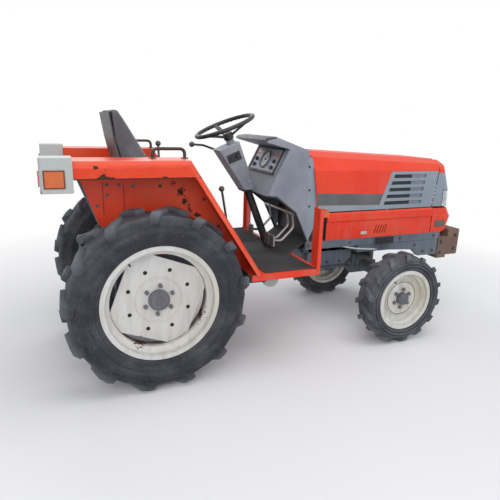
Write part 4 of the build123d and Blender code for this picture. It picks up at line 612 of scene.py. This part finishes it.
# Fenders and lamps
def fender_details():
    """Bolts, pressed lines coloured dark red as painted shade, and a rusty lip."""
    rows = []
    lines = []
    for side in SIDES:
        out = Vector((0, side, 0))
        face_y = side * FENDER_PANEL_Y
        line_y = face_y + side * 0.0008
        for x, z in ((-0.211, 1.036), (-0.155, 1.035), (-0.088, 1.028), (0.046, 1.025),
                     (0.278, 0.95), (-0.213, 0.988), (-0.262, 0.936), (0.36, 0.80)):
            rows.append((at(x, face_y, z), out))
        for x, top, low in ((-0.232, 1.051, 0.895), (-0.134, 1.039, 0.90)):
            lines.append((at(x, line_y, (top + low) / 2), (0.004, 0.004, top - low)))
        lines.append((at(-0.06, line_y, 1.065), (0.40, 0.003, 0.004)))
    bolts("fender_bolts", rows, "dark_steel", 0.006, 0.005)
    # Pressed lines in dark red: painted crease shade
    boxes("fender_pressed_lines", lines, "pressed_line_shade", edge=0.0015)
    for side in SIDES:
        y = side * (FENDER_Y - 0.0025)
        tube(f"fender_lip_bead_{side_name(side)}", [at(-0.370, y, 1.0895), at(0.168, y, 1.0895)],
             0.0034, "worn_edge", smooth=False)


LENS_X = REAR_X - 0.447
LENS_Z = 1.092


def tail_lamp_details():
    """Base, lens frame and ribs, screws and red reflector."""
    low = LOW["tail_lamps"]
    high = HIGH["tail_lamps"]
    rows = []
    frames = []
    ribs = []
    screws = []
    reds = []
    for side in SIDES:
        x_mid = (low.x + high.x) / 2
        y_mid = side * (high.y - 0.065)
        rows.append(((x_mid, y_mid, low.z + 0.005), (high.x - low.x - 0.004, 0.124, 0.014)))
        for z in (LENS_Z - 0.036, LENS_Z + 0.036):
            frames.append(((LENS_X, side * (high.y + 0.001), z), (0.084, 0.006, 0.006)))
        for x in (LENS_X - 0.040, LENS_X + 0.040):
            frames.append(((x, side * (high.y + 0.001), LENS_Z), (0.006, 0.006, 0.074)))
        for k in range(7):
            ribs.append(((LENS_X - 0.030 + 0.010 * k, side * (high.y + 0.0055), LENS_Z),
                         (0.003, 0.0016, 0.060)))
        for z in (1.066, 1.118):
            screws.append((Vector((low.x - 0.0055, side * (high.y - 0.102), z)), (-1, 0, 0)))
        reds.append(((low.x - 0.0052, y_mid, 1.075), (0.0018, 0.056, 0.030)))
    boxes("tail_lamp_base", rows, "black_plastic", edge=0.003)
    boxes("tail_lamp_frames", frames, "lens_rim", edge=0.0015)
    boxes("tail_lamp_ribs", ribs, "lens_amber", edge=0.0005)
    bolts("tail_lamp_screws", screws, "bright_steel", 0.004, 0.0015)
    boxes("tail_lamp_red", reds, "lens_red", edge=0.001)


def handle_details():
    """Flanges where the grab handles stand."""
    work = bmesh.new()
    for side in SIDES:
        for x in (0.0, 0.158):
            put_disc(work, at(x, side * 0.410, FENDER_TOP_Z - 0.001), (0, 0, 1), 0.020, 0.005, 28,
                     0.018)
    from_bmesh("handle_flanges", work, "handle_brown", smooth=True)


# Platform
def floor_details():
    """Ribbed mats, and bolts of the plate and pillars."""
    mat_z = FLOOR_TOP_Z + 0.0025
    mats = [(at(0.665, 0.0, mat_z), (0.410, 0.670, 0.005))]
    ribs = []
    for side in SIDES:
        mats.append((at(0.7175, side * 0.4345, mat_z), (0.305, 0.195, 0.005)))
        for k in range(17):
            ribs.append((at(0.718, side * (0.118 + 0.0252 * k), FLOOR_TOP_Z + 0.006),
                         (0.290, 0.010, 0.003)))
    boxes("floor_mat", mats, "mat", edge=0.002)
    boxes("floor_mat_ribs", ribs, "mat", edge=0.001)
    rows = []
    for side in SIDES:
        for x, y in ((0.870, 0.538), (0.500, 0.538), (0.870, 0.100)):
            rows.append((at(x, side * y, FLOOR_TOP_Z), (0, 0, 1)))
        for z in (0.60, 0.66, 0.84):
            rows.append((at(0.8985, side * 0.500, z), (1, 0, 0)))
    bolts("floor_bolts", rows, "dark_steel", 0.007, 0.005)


def pedal_details():
    """Ribs on the three pedals."""
    rows = []
    for y in (0.150, -0.110, -0.178):
        for k in range(6):
            rows.append((at(0.7655, y, FLOOR_TOP_Z + 0.059 + 0.010 * k), (0.004, 0.054, 0.005)))
    boxes("pedal_pads", rows, "mat", edge=0.001)


# Column, cowl and controls
COLUMN_TOP = at(0.545, 0, 1.248)
STEER_TILT = math.radians(22.5)
STEER_UP = Vector((-math.sin(STEER_TILT), 0, math.cos(STEER_TILT)))
STEER_FORE = Vector((math.cos(STEER_TILT), 0, math.sin(STEER_TILT)))


def steering_wheel_details():
    """Cap, spokes and finger grips."""
    work = bmesh.new()
    put_disc(work, COLUMN_TOP + STEER_UP * 0.034, STEER_UP, 0.029, 0.005, 40, 0.023)
    from_bmesh("steering_cap", work, "black_plastic", "steering_wheel", smooth=True)
    low = Matrix.Translation(COLUMN_TOP + STEER_UP * 0.017) @ facing(STEER_UP)
    turn = Matrix.Translation(COLUMN_TOP + STEER_UP * 0.080) @ facing(STEER_UP)
    work = bmesh.new()
    fore = (facing(STEER_UP).inverted() @ STEER_FORE).normalized()
    start = math.atan2(fore.y, fore.x)
    for degrees in (90, 210, 330):
        a = start + math.radians(degrees)
        inner = low @ Vector((0.030 * math.cos(a), 0.030 * math.sin(a), 0.004))
        outer = turn @ Vector((0.170 * math.cos(a), 0.170 * math.sin(a), 0))
        reach = outer - inner
        side_way = STEER_UP.cross(reach).normalized()
        face_way = reach.cross(side_way).normalized()
        spin = Matrix((reach.normalized(), side_way, face_way)).transposed().to_4x4()
        put_box(work, (inner + outer) / 2, (reach.length, 0.026, 0.012), 0.004, spin)
    from_bmesh("steering_spokes", work, "black_plastic", "steering_wheel", smooth=True)
    work = bmesh.new()
    for k in range(40):
        a = 2 * math.pi * k / 40
        spot = turn @ Vector((0.1735 * math.cos(a), 0.1735 * math.sin(a), -0.0105))
        put_disc(work, spot, -STEER_UP, 0.0035, 0.0022, 10, 0.0022)
    from_bmesh("steering_grips", work, "black_plastic", "steering_wheel", smooth=True)


def column_details():
    """Switches and screws."""
    place = COLUMN_TOP - STEER_UP * 0.10 - STEER_FORE * 0.03
    rows = []
    work = bmesh.new()
    for side in SIDES:
        out = (0, side, 0)
        put_box(work, place + Vector((0, side * 0.065, 0)), (0.085, 0.008, 0.050), 0.002,
                Matrix.Rotation(-STEER_TILT, 4, "Y"))
        put_disc(work, place + Vector((0.02, side * 0.069, 0.01)), out, 0.012, 0.012, 24, 0.010)
        put_disc(work, place + Vector((-0.02, side * 0.069, -0.005)), out, 0.008, 0.010, 20, 0.007)
        for k in range(3):
            spot = COLUMN_TOP - STEER_UP * (0.07 + 0.1 * k) + STEER_FORE * 0.012
            rows.append((spot + Vector((0, side * 0.062, 0)), out))
    from_bmesh("switch_cluster", work, "black_plastic", smooth=True)
    bolts("column_screws", rows, "bright_steel", 0.004, 0.0015)


PANEL_LOW = at(0.760, 0, 1.045)
PANEL_TOP = at(0.841, 0, 1.202)


def gauge_details():
    """Dial, frame, warning lamps and knobs of the panel."""
    along = (PANEL_TOP - PANEL_LOW).normalized()
    out = Vector((-along.z, 0, along.x))
    centre = (PANEL_TOP + PANEL_LOW) / 2 + out * 0.0092
    turn = Matrix((along, Vector((0, 1, 0)), out)).transposed().to_4x4()
    work = bmesh.new()
    put_disc(work, centre, out, 0.0515, 0.002, 48)
    from_bmesh("gauge_face", work, "dial")
    work = bmesh.new()
    for k in range(25):
        a = math.radians(-120 + 10 * k)
        reach = 0.0455 if k % 5 else 0.043
        spot = (centre + out * 0.0024 + along * (reach * math.cos(a))
                + Vector((0, reach * math.sin(a), 0)))
        size = (0.006 if k % 5 else 0.010, 0.0014, 0.0008)
        put_box(work, spot, size, 0, turn @ Matrix.Rotation(a, 4, "Z"))
    hand = centre + out * 0.003 + along * 0.012 + Vector((0, -0.012, 0))
    put_box(work, hand, (0.040, 0.0022, 0.001), 0,
            turn @ Matrix.Rotation(math.radians(-45), 4, "Z"))
    put_disc(work, centre + out * 0.002, out, 0.006, 0.004, 24)
    from_bmesh("gauge_marks", work, "black_plastic")
    work = bmesh.new()
    for offset in (-0.078, 0.078):
        put_box(work, centre + along * offset, (0.014, 0.372, 0.010), 0.002, turn)
    for side in SIDES:
        put_box(work, centre + Vector((0, side * 0.181, 0)), (0.156, 0.012, 0.010), 0.002, turn)
    from_bmesh("panel_frame", work, "black_plastic")
    hoop("gauge_bezel", centre + out * 0.0055, out, 0.0555, 0.0035, "black_plastic")
    work = bmesh.new()
    for k in range(5):
        for side in SIDES:
            spot = centre + Vector((0, side * (0.085 + 0.018 * k), 0)) + along * 0.035
            put_box(work, spot, (0.012, 0.012, 0.004), 0.001, turn)
    from_bmesh("warning_lamps", work, "lens_amber")
    work = bmesh.new()
    for side in SIDES:
        for offset in (-0.045, -0.005):
            spot = centre + Vector((0, side * 0.125, 0)) + along * offset - out * 0.001
            put_disc(work, spot, out, 0.013, 0.014, 28, 0.011)
    from_bmesh("panel_knobs", work, "black_plastic", smooth=True)


COWL_EDGE = ((0.708, 0.929), (0.768, 0.921), (0.899, 0.822), (0.988, 0.640))
COWL_SEAM = [(0.968, 1.165), (0.998, 1.150), (1.060, 0.832), (1.060, 0.780), (1.004, 0.660),
             (0.980, 0.660)]
VISOR_CAP = [(0.752, 1.2728), (0.689, 1.2658), (0.672, 1.2507), (0.690, 1.2420),
             (0.700, 1.2500), (0.752, 1.2622)]


def cowl_details():
    """Edge trim, seam strips, clips and visor cap."""
    rows = []
    for side in SIDES:
        y = side * (COWL_SIDE_Y - 0.001)
        tube(f"cowl_edge_trim_{side_name(side)}", [at(x, y, z) for x, z in COWL_EDGE], 0.0075,
             "black_plastic", smooth=False)
        plate(f"cowl_seam_strip_{side_name(side)}", COWL_SEAM, side * 0.2200, side * COWL_SIDE_Y,
              "louvre_grey")
        for x, z in ((0.978, 1.10), (0.986, 0.96), (0.992, 0.86)):
            rows.append((at(x, side * COWL_SIDE_Y, z), (0, side, 0)))
    bolts("cowl_clips", rows, "black_plastic", 0.005, 0.0025)
    plate("cowl_visor_cap", VISOR_CAP, -0.2268, 0.2268, "trim_dark", edge=0.002)


# Hood and panels: outlines of (x, z) places, x from the rear axle
HOOD_BAND = [(1.037, 0.940), (1.536, 0.922), (1.513, 0.852), (1.048, 0.865)]
HOOD_BAND_LOW = [(1.049, 0.864), (1.512, 0.851), (1.503, 0.8225), (1.054, 0.8225)]
LOUVRE_BACKING = [(1.52, 0.836), (1.955, 0.836), (1.975, 1.060), (1.60, 1.060)]
LOUVRE_BORDER = [(1.503, 0.8225), (1.9585, 0.8225), (1.9862, 1.066), (1.972, 1.066),
                 (1.9467, 0.8305), (1.506, 0.8305)]
HEADLAMP_TRIM = [(2.046, 0.822), (2.052, 0.822), (2.052, 0.930), (2.070, 0.930),
                 (2.070, 0.935), (2.046, 0.935)]
BUMPER_MARKER = [(2.008, 0.672), (2.100, 0.672), (2.106, 0.722), (2.012, 0.722)]
PANEL_LABEL = [(1.388, 0.660), (1.434, 0.660), (1.434, 0.680), (1.388, 0.680)]
LOUVRE_LOW_Z = 0.830
LOUVRE_HIGH = 0.236
LOUVRE_PITCH = 0.0437
LOUVRE_REAR_X = 1.506
LOUVRE_LEAN = 0.084
LOUVRE_MIDDLES = [LOUVRE_LOW_Z + LOUVRE_PITCH * (k + 0.7) for k in range(5)]


def hood_details():
    """Bands and louvres on the sides, with a dark backing and a darker recess behind the slots
    painted as shade, and two top creases.
    """
    for side in SIDES:
        way = side_name(side)
        y = side * FRONT_FACE_Y
        face = side * FRONT_TRIM_Y
        plate(f"hood_band_{way}", HOOD_BAND, y, face, "band_dark", "hood", 0.0003)
        plate(f"hood_band_low_{way}", HOOD_BAND_LOW, y, face, "louvre_grey", "hood", edge=0.0003)
        # Dark backing behind the louvre slots: painted shade
        plate(f"louvre_backing_{way}", LOUVRE_BACKING, side * 0.222, side * 0.2292, "louvre_backing_shade",
              "hood")
        work = bmesh.new()
        for z in LOUVRE_MIDDLES:
            x0 = LOUVRE_REAR_X + (z - LOUVRE_LOW_Z) / LOUVRE_HIGH * LOUVRE_LEAN
            put_box(work, at((x0 + 1.93) / 2 + 0.012, side * 0.2375, z + 0.0135),
                    (1.90 - x0 - 0.02, 0.006, 0.0045), 0.0015)
        from_bmesh(f"louvre_ribs_{way}", work, "louvre_grey", "hood")
        # Recess behind the front slots: a blue-grey part given the darker trim grey as painted
        # shade
        work = bmesh.new()
        for z in LOUVRE_MIDDLES:
            put_box(work, at(1.822, side * 0.2304, z), (0.115, 0.0015, 0.026), 0.0004)
        from_bmesh(f"louvre_recess_{way}", work, "trim_grey", "hood")
        edge_y = side * 0.2365
        tube(f"hood_low_edge_{way}", [at(1.055, edge_y, 0.8225), at(1.958, edge_y, 0.8225)],
             0.002, "louvre_grey", "hood", smooth=False)
        plate(f"louvre_border_{way}", LOUVRE_BORDER, y, face, "louvre_grey", "hood", edge=0.0003)
    work = bmesh.new()
    for y in (-0.060, 0.060):
        put_box(work, at(1.50, y, 1.166), (0.90, 0.006, 0.004), 0.002,
                Matrix.Rotation(math.atan2(0.050, 1.005), 4, "Y"))
    from_bmesh("hood_top_creases", work, "body_red", "hood")


def front_details():
    """Headlamps, markers, labels and creases."""
    for side in SIDES:
        way = side_name(side)
        work = bmesh.new()
        for y, radius in ((0.195, 0.034), (0.160, 0.020)):
            spot = at(2.070, side * y, 0.878)
            put_disc(work, spot, (1, 0, 0), radius * 0.45, 0.030, 32, radius)
        from_bmesh(f"headlamp_reflector_{way}", work, "reflector",
                   smooth=True)
        plate(f"headlamp_trim_{way}", HEADLAMP_TRIM, side * 0.2365, side * 0.2386, "black_plastic")
        plate(f"bumper_marker_{way}", BUMPER_MARKER, side * 0.2365, side * 0.2400, "marker",
              edge=0.0015)
        plate(f"panel_label_{way}", PANEL_LABEL, side * 0.2370, side * 0.2386, "dial",
              edge=0.0003)
        y = side * 0.2382
        tube(f"panel_crease_{way}", [at(1.130, y, 0.700), at(1.964, y, 0.682)],
             0.0016, "body_red", smooth=False)
        y = side * FRONT_FACE_Y
        tube(f"bumper_crease_{way}", [at(1.985, y, 0.752), at(2.100, y, 0.752)],
             0.0022, "body_red", smooth=False)


# Running gear: outlines and courses, x from the rear axle
FRONT_CASTING = [(1.640, 0.586), (2.068, 0.586), (2.068, 0.470), (1.900, 0.470),
                 (1.840, 0.520), (1.640, 0.535), (1.380, 0.535), (1.380, 0.586)]
ENGINE_PLATE = [(1.050, 0.586), (1.400, 0.586), (1.390, 0.480), (1.340, 0.440),
                (1.080, 0.440), (1.050, 0.480)]
TOE_BOARD = [(0.872, 0.5665), (0.888, 0.5665), (1.003, 0.640), (1.003, 0.652), (0.996, 0.652)]
PIPES = (
    ("oil_pipe", 0.007, "black_plastic",
     [(1.30, -0.140, 0.560), (1.33, -0.180, 0.565), (1.40, -0.185, 0.572),
      (1.46, -0.150, 0.565), (1.485, -0.055, 0.550)]),
    ("return_pipe", 0.006, "dark_steel",
     [(1.24, -0.145, 0.570), (1.33, -0.205, 0.570), (1.43, -0.210, 0.575),
      (1.52, -0.200, 0.565), (1.60, -0.210, 0.560)]),
    ("fuel_pipe_a", 0.005, "bright_steel",
     [(1.03, -0.148, 0.600), (1.10, -0.165, 0.585), (1.24, -0.160, 0.590),
      (1.36, -0.148, 0.600)]),
    ("fuel_pipe_b", 0.005, "bright_steel",
     [(1.03, 0.148, 0.600), (1.10, 0.165, 0.585), (1.24, 0.160, 0.590), (1.36, 0.148, 0.600)]),
    ("filter_pipe", 0.007, "black_plastic",
     [(0.64, -0.160, 0.500), (0.60, -0.155, 0.545), (0.52, -0.150, 0.550),
      (0.44, -0.145, 0.560), (0.31, -0.132, 0.600)]),
)
AXLE_BOLT_CIRCLE_R = 0.072


def side_plates():
    """Plates under the rails and beside the engine."""
    for side in SIDES:
        way = side_name(side)
        plate(f"front_casting_{way}", FRONT_CASTING, side * 0.205, side * CASTING_Y, "case_grey",
              edge=0.003)
        plate(f"engine_side_plate_{way}", ENGINE_PLATE, side * 0.114, side * ENGINE_PLATE_Y,
              "case_grey", edge=0.004)


def case_details():
    """Bolts, seams, and the exhaust grille with a near-black sheet painted behind it as shade."""
    rows = []
    for side in SIDES:
        out = (0, side, 0)
        for x in (1.00, 1.31, 1.72, 2.02):
            rows.append((at(x, side * RAIL_SIDE_Y, 0.611), out))
        for x, z in ((1.86, 0.552), (1.94, 0.50), (2.03, 0.50)):
            rows.append((at(x, side * CASTING_Y, z), out))
        for x in (-0.12, 0.0, 0.12, 0.24, 0.30):
            for z in (0.365, 0.605):
                rows.append((at(x, side * REAR_CASE_Y, z), out))
        for x in (0.38, 0.52, 0.66, 0.80, 0.95):
            for z in (0.440, 0.545):
                rows.append((at(x, side * GEAR_CASE_Y, z), out))
        for k in range(8):
            a = math.radians(22.5 + 45 * k)
            rows.append((at(AXLE_BOLT_CIRCLE_R * math.cos(a), side * (REAR_CASE_Y + 0.018),
                            REAR_HUB.z + AXLE_BOLT_CIRCLE_R * math.sin(a)), out))
        for x in (1.10, 1.20, 1.30, 1.37):
            for z in (0.56, 0.462):
                rows.append((at(x, side * ENGINE_PLATE_Y, z), out))
    bolts("case_bolts", rows, "dark_steel", 0.007, 0.006)
    seams = []
    for x in (0.330, 0.640, 1.012):
        for side in SIDES:
            seams.append((at(x, side * 0.1125, 0.492), (0.010, 0.008, 0.130)))
    for side in SIDES:
        seams.append((at(0.08, side * 0.1365, 0.485), (0.010, 0.006, 0.300)))
    boxes("case_seams", seams, "case_grey", edge=0.002)
    bars = [(at(1.5825, -0.2510, 0.5965 + 0.0145 * k), (0.138, 0.003, 0.006)) for k in range(3)]
    bars += [(at(x, -0.2510, 0.611), (0.008, 0.003, 0.042)) for x in (1.518, 1.5825, 1.647)]
    boxes("exhaust_grille", bars, "black_plastic", edge=0.0006)
    # Near-black sheet behind the grille bars: painted shade
    boxes("exhaust_grille_shade", [(at(1.5825, -0.2495, 0.611), (0.134, 0.0016, 0.040))], "seam",
          edge=0.0003)


def pipe_details():
    """Rigid pipes, firewall, toe board and axle stays."""
    for name, radius, finish, course in PIPES:
        tube(name, [at(*place) for place in course], radius, finish)
    boxes("firewall", [(at(1.006, 0.0, 0.790), (0.004, 0.430, 0.420))], "black_plastic")
    plate("toe_board", TOE_BOARD, -0.215, 0.215, "mat")
    for side in SIDES:
        tube(f"steering_pipe_{side_name(side)}",
             [at(1.250, side * 0.227, 0.590), at(1.330, side * 0.238, 0.570),
              at(1.450, side * 0.240, 0.555), at(1.540, side * 0.226, 0.545)], 0.006, "lamp_grey")
        tube(f"axle_stay_{side_name(side)}",
             [at(1.455, side * 0.060, 0.405), at(1.300, side * 0.090, 0.470),
              at(1.200, side * 0.112, 0.500)], 0.010, "case_grey", smooth=False)


def weight_details():
    """Ribs, bolts and the rod of the front weights."""
    rows = []
    grooves = []
    x = HIGH["front_weights"].x
    for k in range(5):
        y = -0.238 + 0.042 + k * 0.098
        grooves.append(((x - 0.003, y, 0.548), (0.006, 0.050, 0.010)))
        grooves.append(((x - 0.055, y, 0.6485), (0.060, 0.030, 0.004)))
    boxes("weight_ribs", grooves, "rust_iron", edge=0.002)
    for side in SIDES:
        for bolt_x, z in ((2.10, 0.56), (2.10, 0.48), (2.226, 0.50), (2.226, 0.60)):
            rows.append((at(bolt_x, side * 0.238, z), (0, side, 0)))
    bolts("weight_bolts", rows, "dark_steel", 0.010, 0.008)
    tube("weight_rod", [at(2.226, -0.236, 0.600), at(2.226, 0.236, 0.600)], 0.007, "dark_steel",
         smooth=False)


PTO_Z = 0.486
SPLINE_R = 0.016275


def hitch_details():
    """Splines, collar and bolts at the rear case."""
    work = bmesh.new()
    for k in range(6):
        a = math.radians(60 * k)
        spot = at(-0.205, SPLINE_R * math.cos(a), PTO_Z + SPLINE_R * math.sin(a))
        put_box(work, spot, (0.064, 0.0035, 0.0035), 0.0006)
    from_bmesh("pto_splines", work, "bright_steel", "pto_shaft")
    rows = []
    for y in (-0.09, 0.09):
        for z in (0.40, 0.46, 0.54, 0.60):
            rows.append((at(REAR_CASE_BACK_X, y, z), (-1, 0, 0)))
    for y in (-0.072, 0.072):
        rows.append((at(REAR_CASE_BACK_X, y, 0.352), (-1, 0, 0)))
    bolts("rear_case_bolts", rows, "dark_steel", 0.008, 0.006)
    hoop("pto_collar", at(REAR_CASE_BACK_X - 0.001, 0, PTO_Z), (-1, 0, 0), 0.034, 0.005,
         "case_grey")
    rows = [(at(0.040, side * 0.208, 0.300), (0, side, 0)) for side in SIDES]
    bolts("link_pin_washers", rows, "bright_steel", 0.012, 0.005, 1.4)


def seat_frame_details():
    """Edge beads of the shell, and pivot nuts."""
    bead = [(-0.056, 0.970), (-0.116, 1.104), (-0.150, 1.240), (-0.170, 1.376)]
    for side in SIDES:
        tube(f"seat_shell_edge_{side_name(side)}", [at(x, side * 0.2010, z) for x, z in bead],
             0.0032, "shell", "seat")
    rows = [(at(0.285, side * 0.132, 0.955), (0, side, 0)) for side in SIDES]
    bolts("seat_pivot_nuts", rows, "dark_steel", 0.010, 0.006)


# Seat
PAD_WIDTH_SHARE = 0.972
PAD_VOXEL = 0.008
SWELL_FRAMES = 20
SWELL_PRESSURE = 4.0
SWELL_LIMIT = 0.007
SIDE_SEAM_Y = 0.120
CROSS_SEAMS_X = (0.10, 0.17, 0.24)


def bake(piece):
    """The piece's modifiers made part of its mesh."""
    graph = bpy.context.evaluated_depsgraph_get()
    result = bpy.data.meshes.new_from_object(piece.evaluated_get(graph))
    piece.modifiers.clear()
    piece.data = result


def sew(pad):
    """Sewn channels pressed into the seat and its back."""
    for vertex in pad.data.vertices:
        x = vertex.co.x - REAR_X
        on_back = x < 0.03 and vertex.co.z > 1.10
        on_pan = x >= 0.05 and vertex.co.z > 1.03
        off = abs(abs(vertex.co.y) - SIDE_SEAM_Y)
        depth = 0.005 * max(0.0, 1 - off / 0.012)
        if on_pan:
            if abs(vertex.co.y) < SIDE_SEAM_Y:
                for line in CROSS_SEAMS_X:
                    depth = max(depth, 0.004 * max(0.0, 1 - abs(x - line) / 0.010))
            vertex.co.z -= depth
        elif on_back:
            vertex.co.x -= depth * 0.6


def soft_seat():
    """The seat's pad, swelled a little forward and up by a short cloth run, and sewn."""
    source = frame["nodes"]["seat_cushion"]
    pad = add_object("seat_pad", source.data.copy())
    bpy.context.view_layer.objects.active = pad
    centre = middle("seat_cushion")
    for vertex in pad.data.vertices:
        vertex.co.y = centre.y + (vertex.co.y - centre.y) * PAD_WIDTH_SHARE
    remesh = pad.modifiers.new("remesh", "REMESH")
    remesh.mode = "VOXEL"
    remesh.voxel_size = PAD_VOXEL
    bake(pad)
    start = [vertex.co.copy() for vertex in pad.data.vertices]
    cloth = pad.modifiers.new("cloth", "CLOTH")
    cloth.settings.use_pressure = True
    cloth.settings.uniform_pressure_force = SWELL_PRESSURE
    cloth.settings.effector_weights.gravity = 0.0
    for step in range(1, SWELL_FRAMES + 1):
        bpy.context.scene.frame_set(step)
    bake(pad)
    bpy.context.scene.frame_set(1)
    for vertex, rest in zip(pad.data.vertices, start):
        move = vertex.co - rest
        move.x = max(move.x, 0.0)
        move.z = max(move.z, 0.0)
        if move.length > SWELL_LIMIT:
            move = move.normalized() * SWELL_LIMIT
        vertex.co = rest + move
    sew(pad)
    smooth = pad.modifiers.new("smooth", "SMOOTH")
    smooth.factor = 0.5
    smooth.iterations = 3
    bake(pad)
    divide = pad.modifiers.new("divide", "SUBSURF")
    divide.levels = 1
    bake(pad)
    for face in pad.data.polygons:
        face.use_smooth = True
    pad.data.materials.clear()
    pad.data.materials.append(MATERIALS["seat_vinyl"])
    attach(pad, "seat")
    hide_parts("seat_cushion")


wheel_details()
for each in SIDES:
    rear_disc_details(each)
    front_disc_details(each)
fender_details()
tail_lamp_details()
handle_details()
floor_details()
pedal_details()
steering_wheel_details()
column_details()
gauge_details()
cowl_details()
hood_details()
front_details()
side_plates()
case_details()
pipe_details()
weight_details()
hitch_details()
seat_frame_details()
soft_seat()


# Floor, light and camera
FADE_START = 1.7
FADE_END = 3.6
WORLD_STRENGTH = 0.52


def seen_directly(tree):
    """One for rays from the camera, by mirror or through glass, and zero for light."""
    path = add_node(tree, "LightPath")
    mirror = maths(tree, "MAXIMUM", path.outputs["Is Camera Ray"], path.outputs["Is Glossy Ray"])
    return maths(tree, "MAXIMUM", mirror, path.outputs["Is Transmission Ray"])


def backdrop():
    """A pale floor that fades to a white surround far from the tractor."""
    work = bmesh.new()
    bmesh.ops.create_grid(work, x_segments=1, y_segments=1, size=40)
    mesh = bpy.data.meshes.new("floor")
    work.to_mesh(mesh)
    work.free()
    floor = add_object("floor", mesh)
    material, tree, shader, place = blank("floor")
    shader.inputs["Base Color"].default_value = (0.80, 0.80, 0.81, 1.0)
    shader.inputs["Roughness"].default_value = 0.9
    away = add_node(tree, "VectorMath", {0: place}, operation="LENGTH").outputs[1]
    fade = ramp(tree, away, FADE_START, FADE_END)
    white = add_node(tree, "Emission", {"Color": (1.0, 1.0, 1.0, 1.0), "Strength": 1.0})
    share = times(tree, fade, seen_directly(tree))
    blend = add_node(tree, "MixShader", {0: share, 1: shader.outputs[0], 2: white.outputs[0]})
    tree.links.new(blend.outputs[0], tree.nodes["Material Output"].inputs["Surface"])
    mesh.materials.append(material)


def surround():
    """White where it is seen, and a softer grey light on the object."""
    world = bpy.data.worlds.new("surround")
    world.use_nodes = True
    tree = world.node_tree
    tree.nodes.clear()
    light = add_node(tree, "Background", {"Color": (0.90, 0.93, 1.0, 1.0),
                                             "Strength": WORLD_STRENGTH})
    white = add_node(tree, "Background", {"Color": (1.0, 1.0, 1.0, 1.0), "Strength": 1.0})
    blend = add_node(tree, "MixShader", {0: seen_directly(tree), 1: light.outputs[0],
                                         2: white.outputs[0]})
    out = add_node(tree, "OutputWorld")
    tree.links.new(blend.outputs[0], out.inputs["Surface"])
    bpy.context.scene.world = world


def area_light(name, place, target, size, power, colour):
    """A soft rectangular lamp that points at the target."""
    data = bpy.data.lights.new(name, "AREA")
    data.shape = "RECTANGLE"
    data.size = size[0]
    data.size_y = size[1]
    data.energy = power
    data.color = colour
    lamp = add_object(name, data)
    aim = (Vector(target) - Vector(place)).to_track_quat("-Z", "Y")
    lamp.matrix_world = Matrix.Translation(place) @ aim.to_matrix().to_4x4()


CAMERA_PLACE = Vector((-1.3429, -2.6985, 1.3535))
CAMERA_YAW = math.radians(23.50)
CAMERA_DIP = math.radians(15.36)
CAMERA_ROLL = math.radians(1.82)
CAMERA_LENS = 33.74


def camera():
    """The photograph's own viewpoint."""
    across = Vector((math.cos(CAMERA_YAW), -math.sin(CAMERA_YAW), 0))
    ahead = Vector((math.sin(CAMERA_YAW) * math.cos(CAMERA_DIP),
                    math.cos(CAMERA_YAW) * math.cos(CAMERA_DIP), -math.sin(CAMERA_DIP)))
    above = across.cross(ahead)
    right = math.cos(CAMERA_ROLL) * across + math.sin(CAMERA_ROLL) * above
    up = math.cos(CAMERA_ROLL) * above - math.sin(CAMERA_ROLL) * across
    turn = Matrix((right, up, -ahead)).transposed().to_4x4()
    data = bpy.data.cameras.new("camera")
    data.lens = CAMERA_LENS
    data.sensor_width = 36
    eye = add_object("camera", data)
    eye.matrix_world = Matrix.Translation(CAMERA_PLACE) @ turn
    bpy.context.scene.camera = eye


backdrop()
surround()
area_light("key", (-2.2, -4.4, 3.0), (0, 0, 0.6), (3.6, 2.6), 104, (1.0, 0.98, 0.95))
area_light("top", (0.2, -1.2, 4.4), (0.1, 0, 0.6), (3.6, 3.0), 66, (1.0, 0.99, 0.98))
area_light("fill", (3.6, -2.6, 2.0), (0.2, 0, 0.6), (2.6, 2.6), 34, (0.93, 0.96, 1.0))
area_light("back", (-0.4, 3.6, 3.4), (0, 0, 0.8), (3.0, 2.0), 48, (1.0, 1.0, 1.0))
camera()

bpy.context.scene.view_settings.view_transform = "Standard"
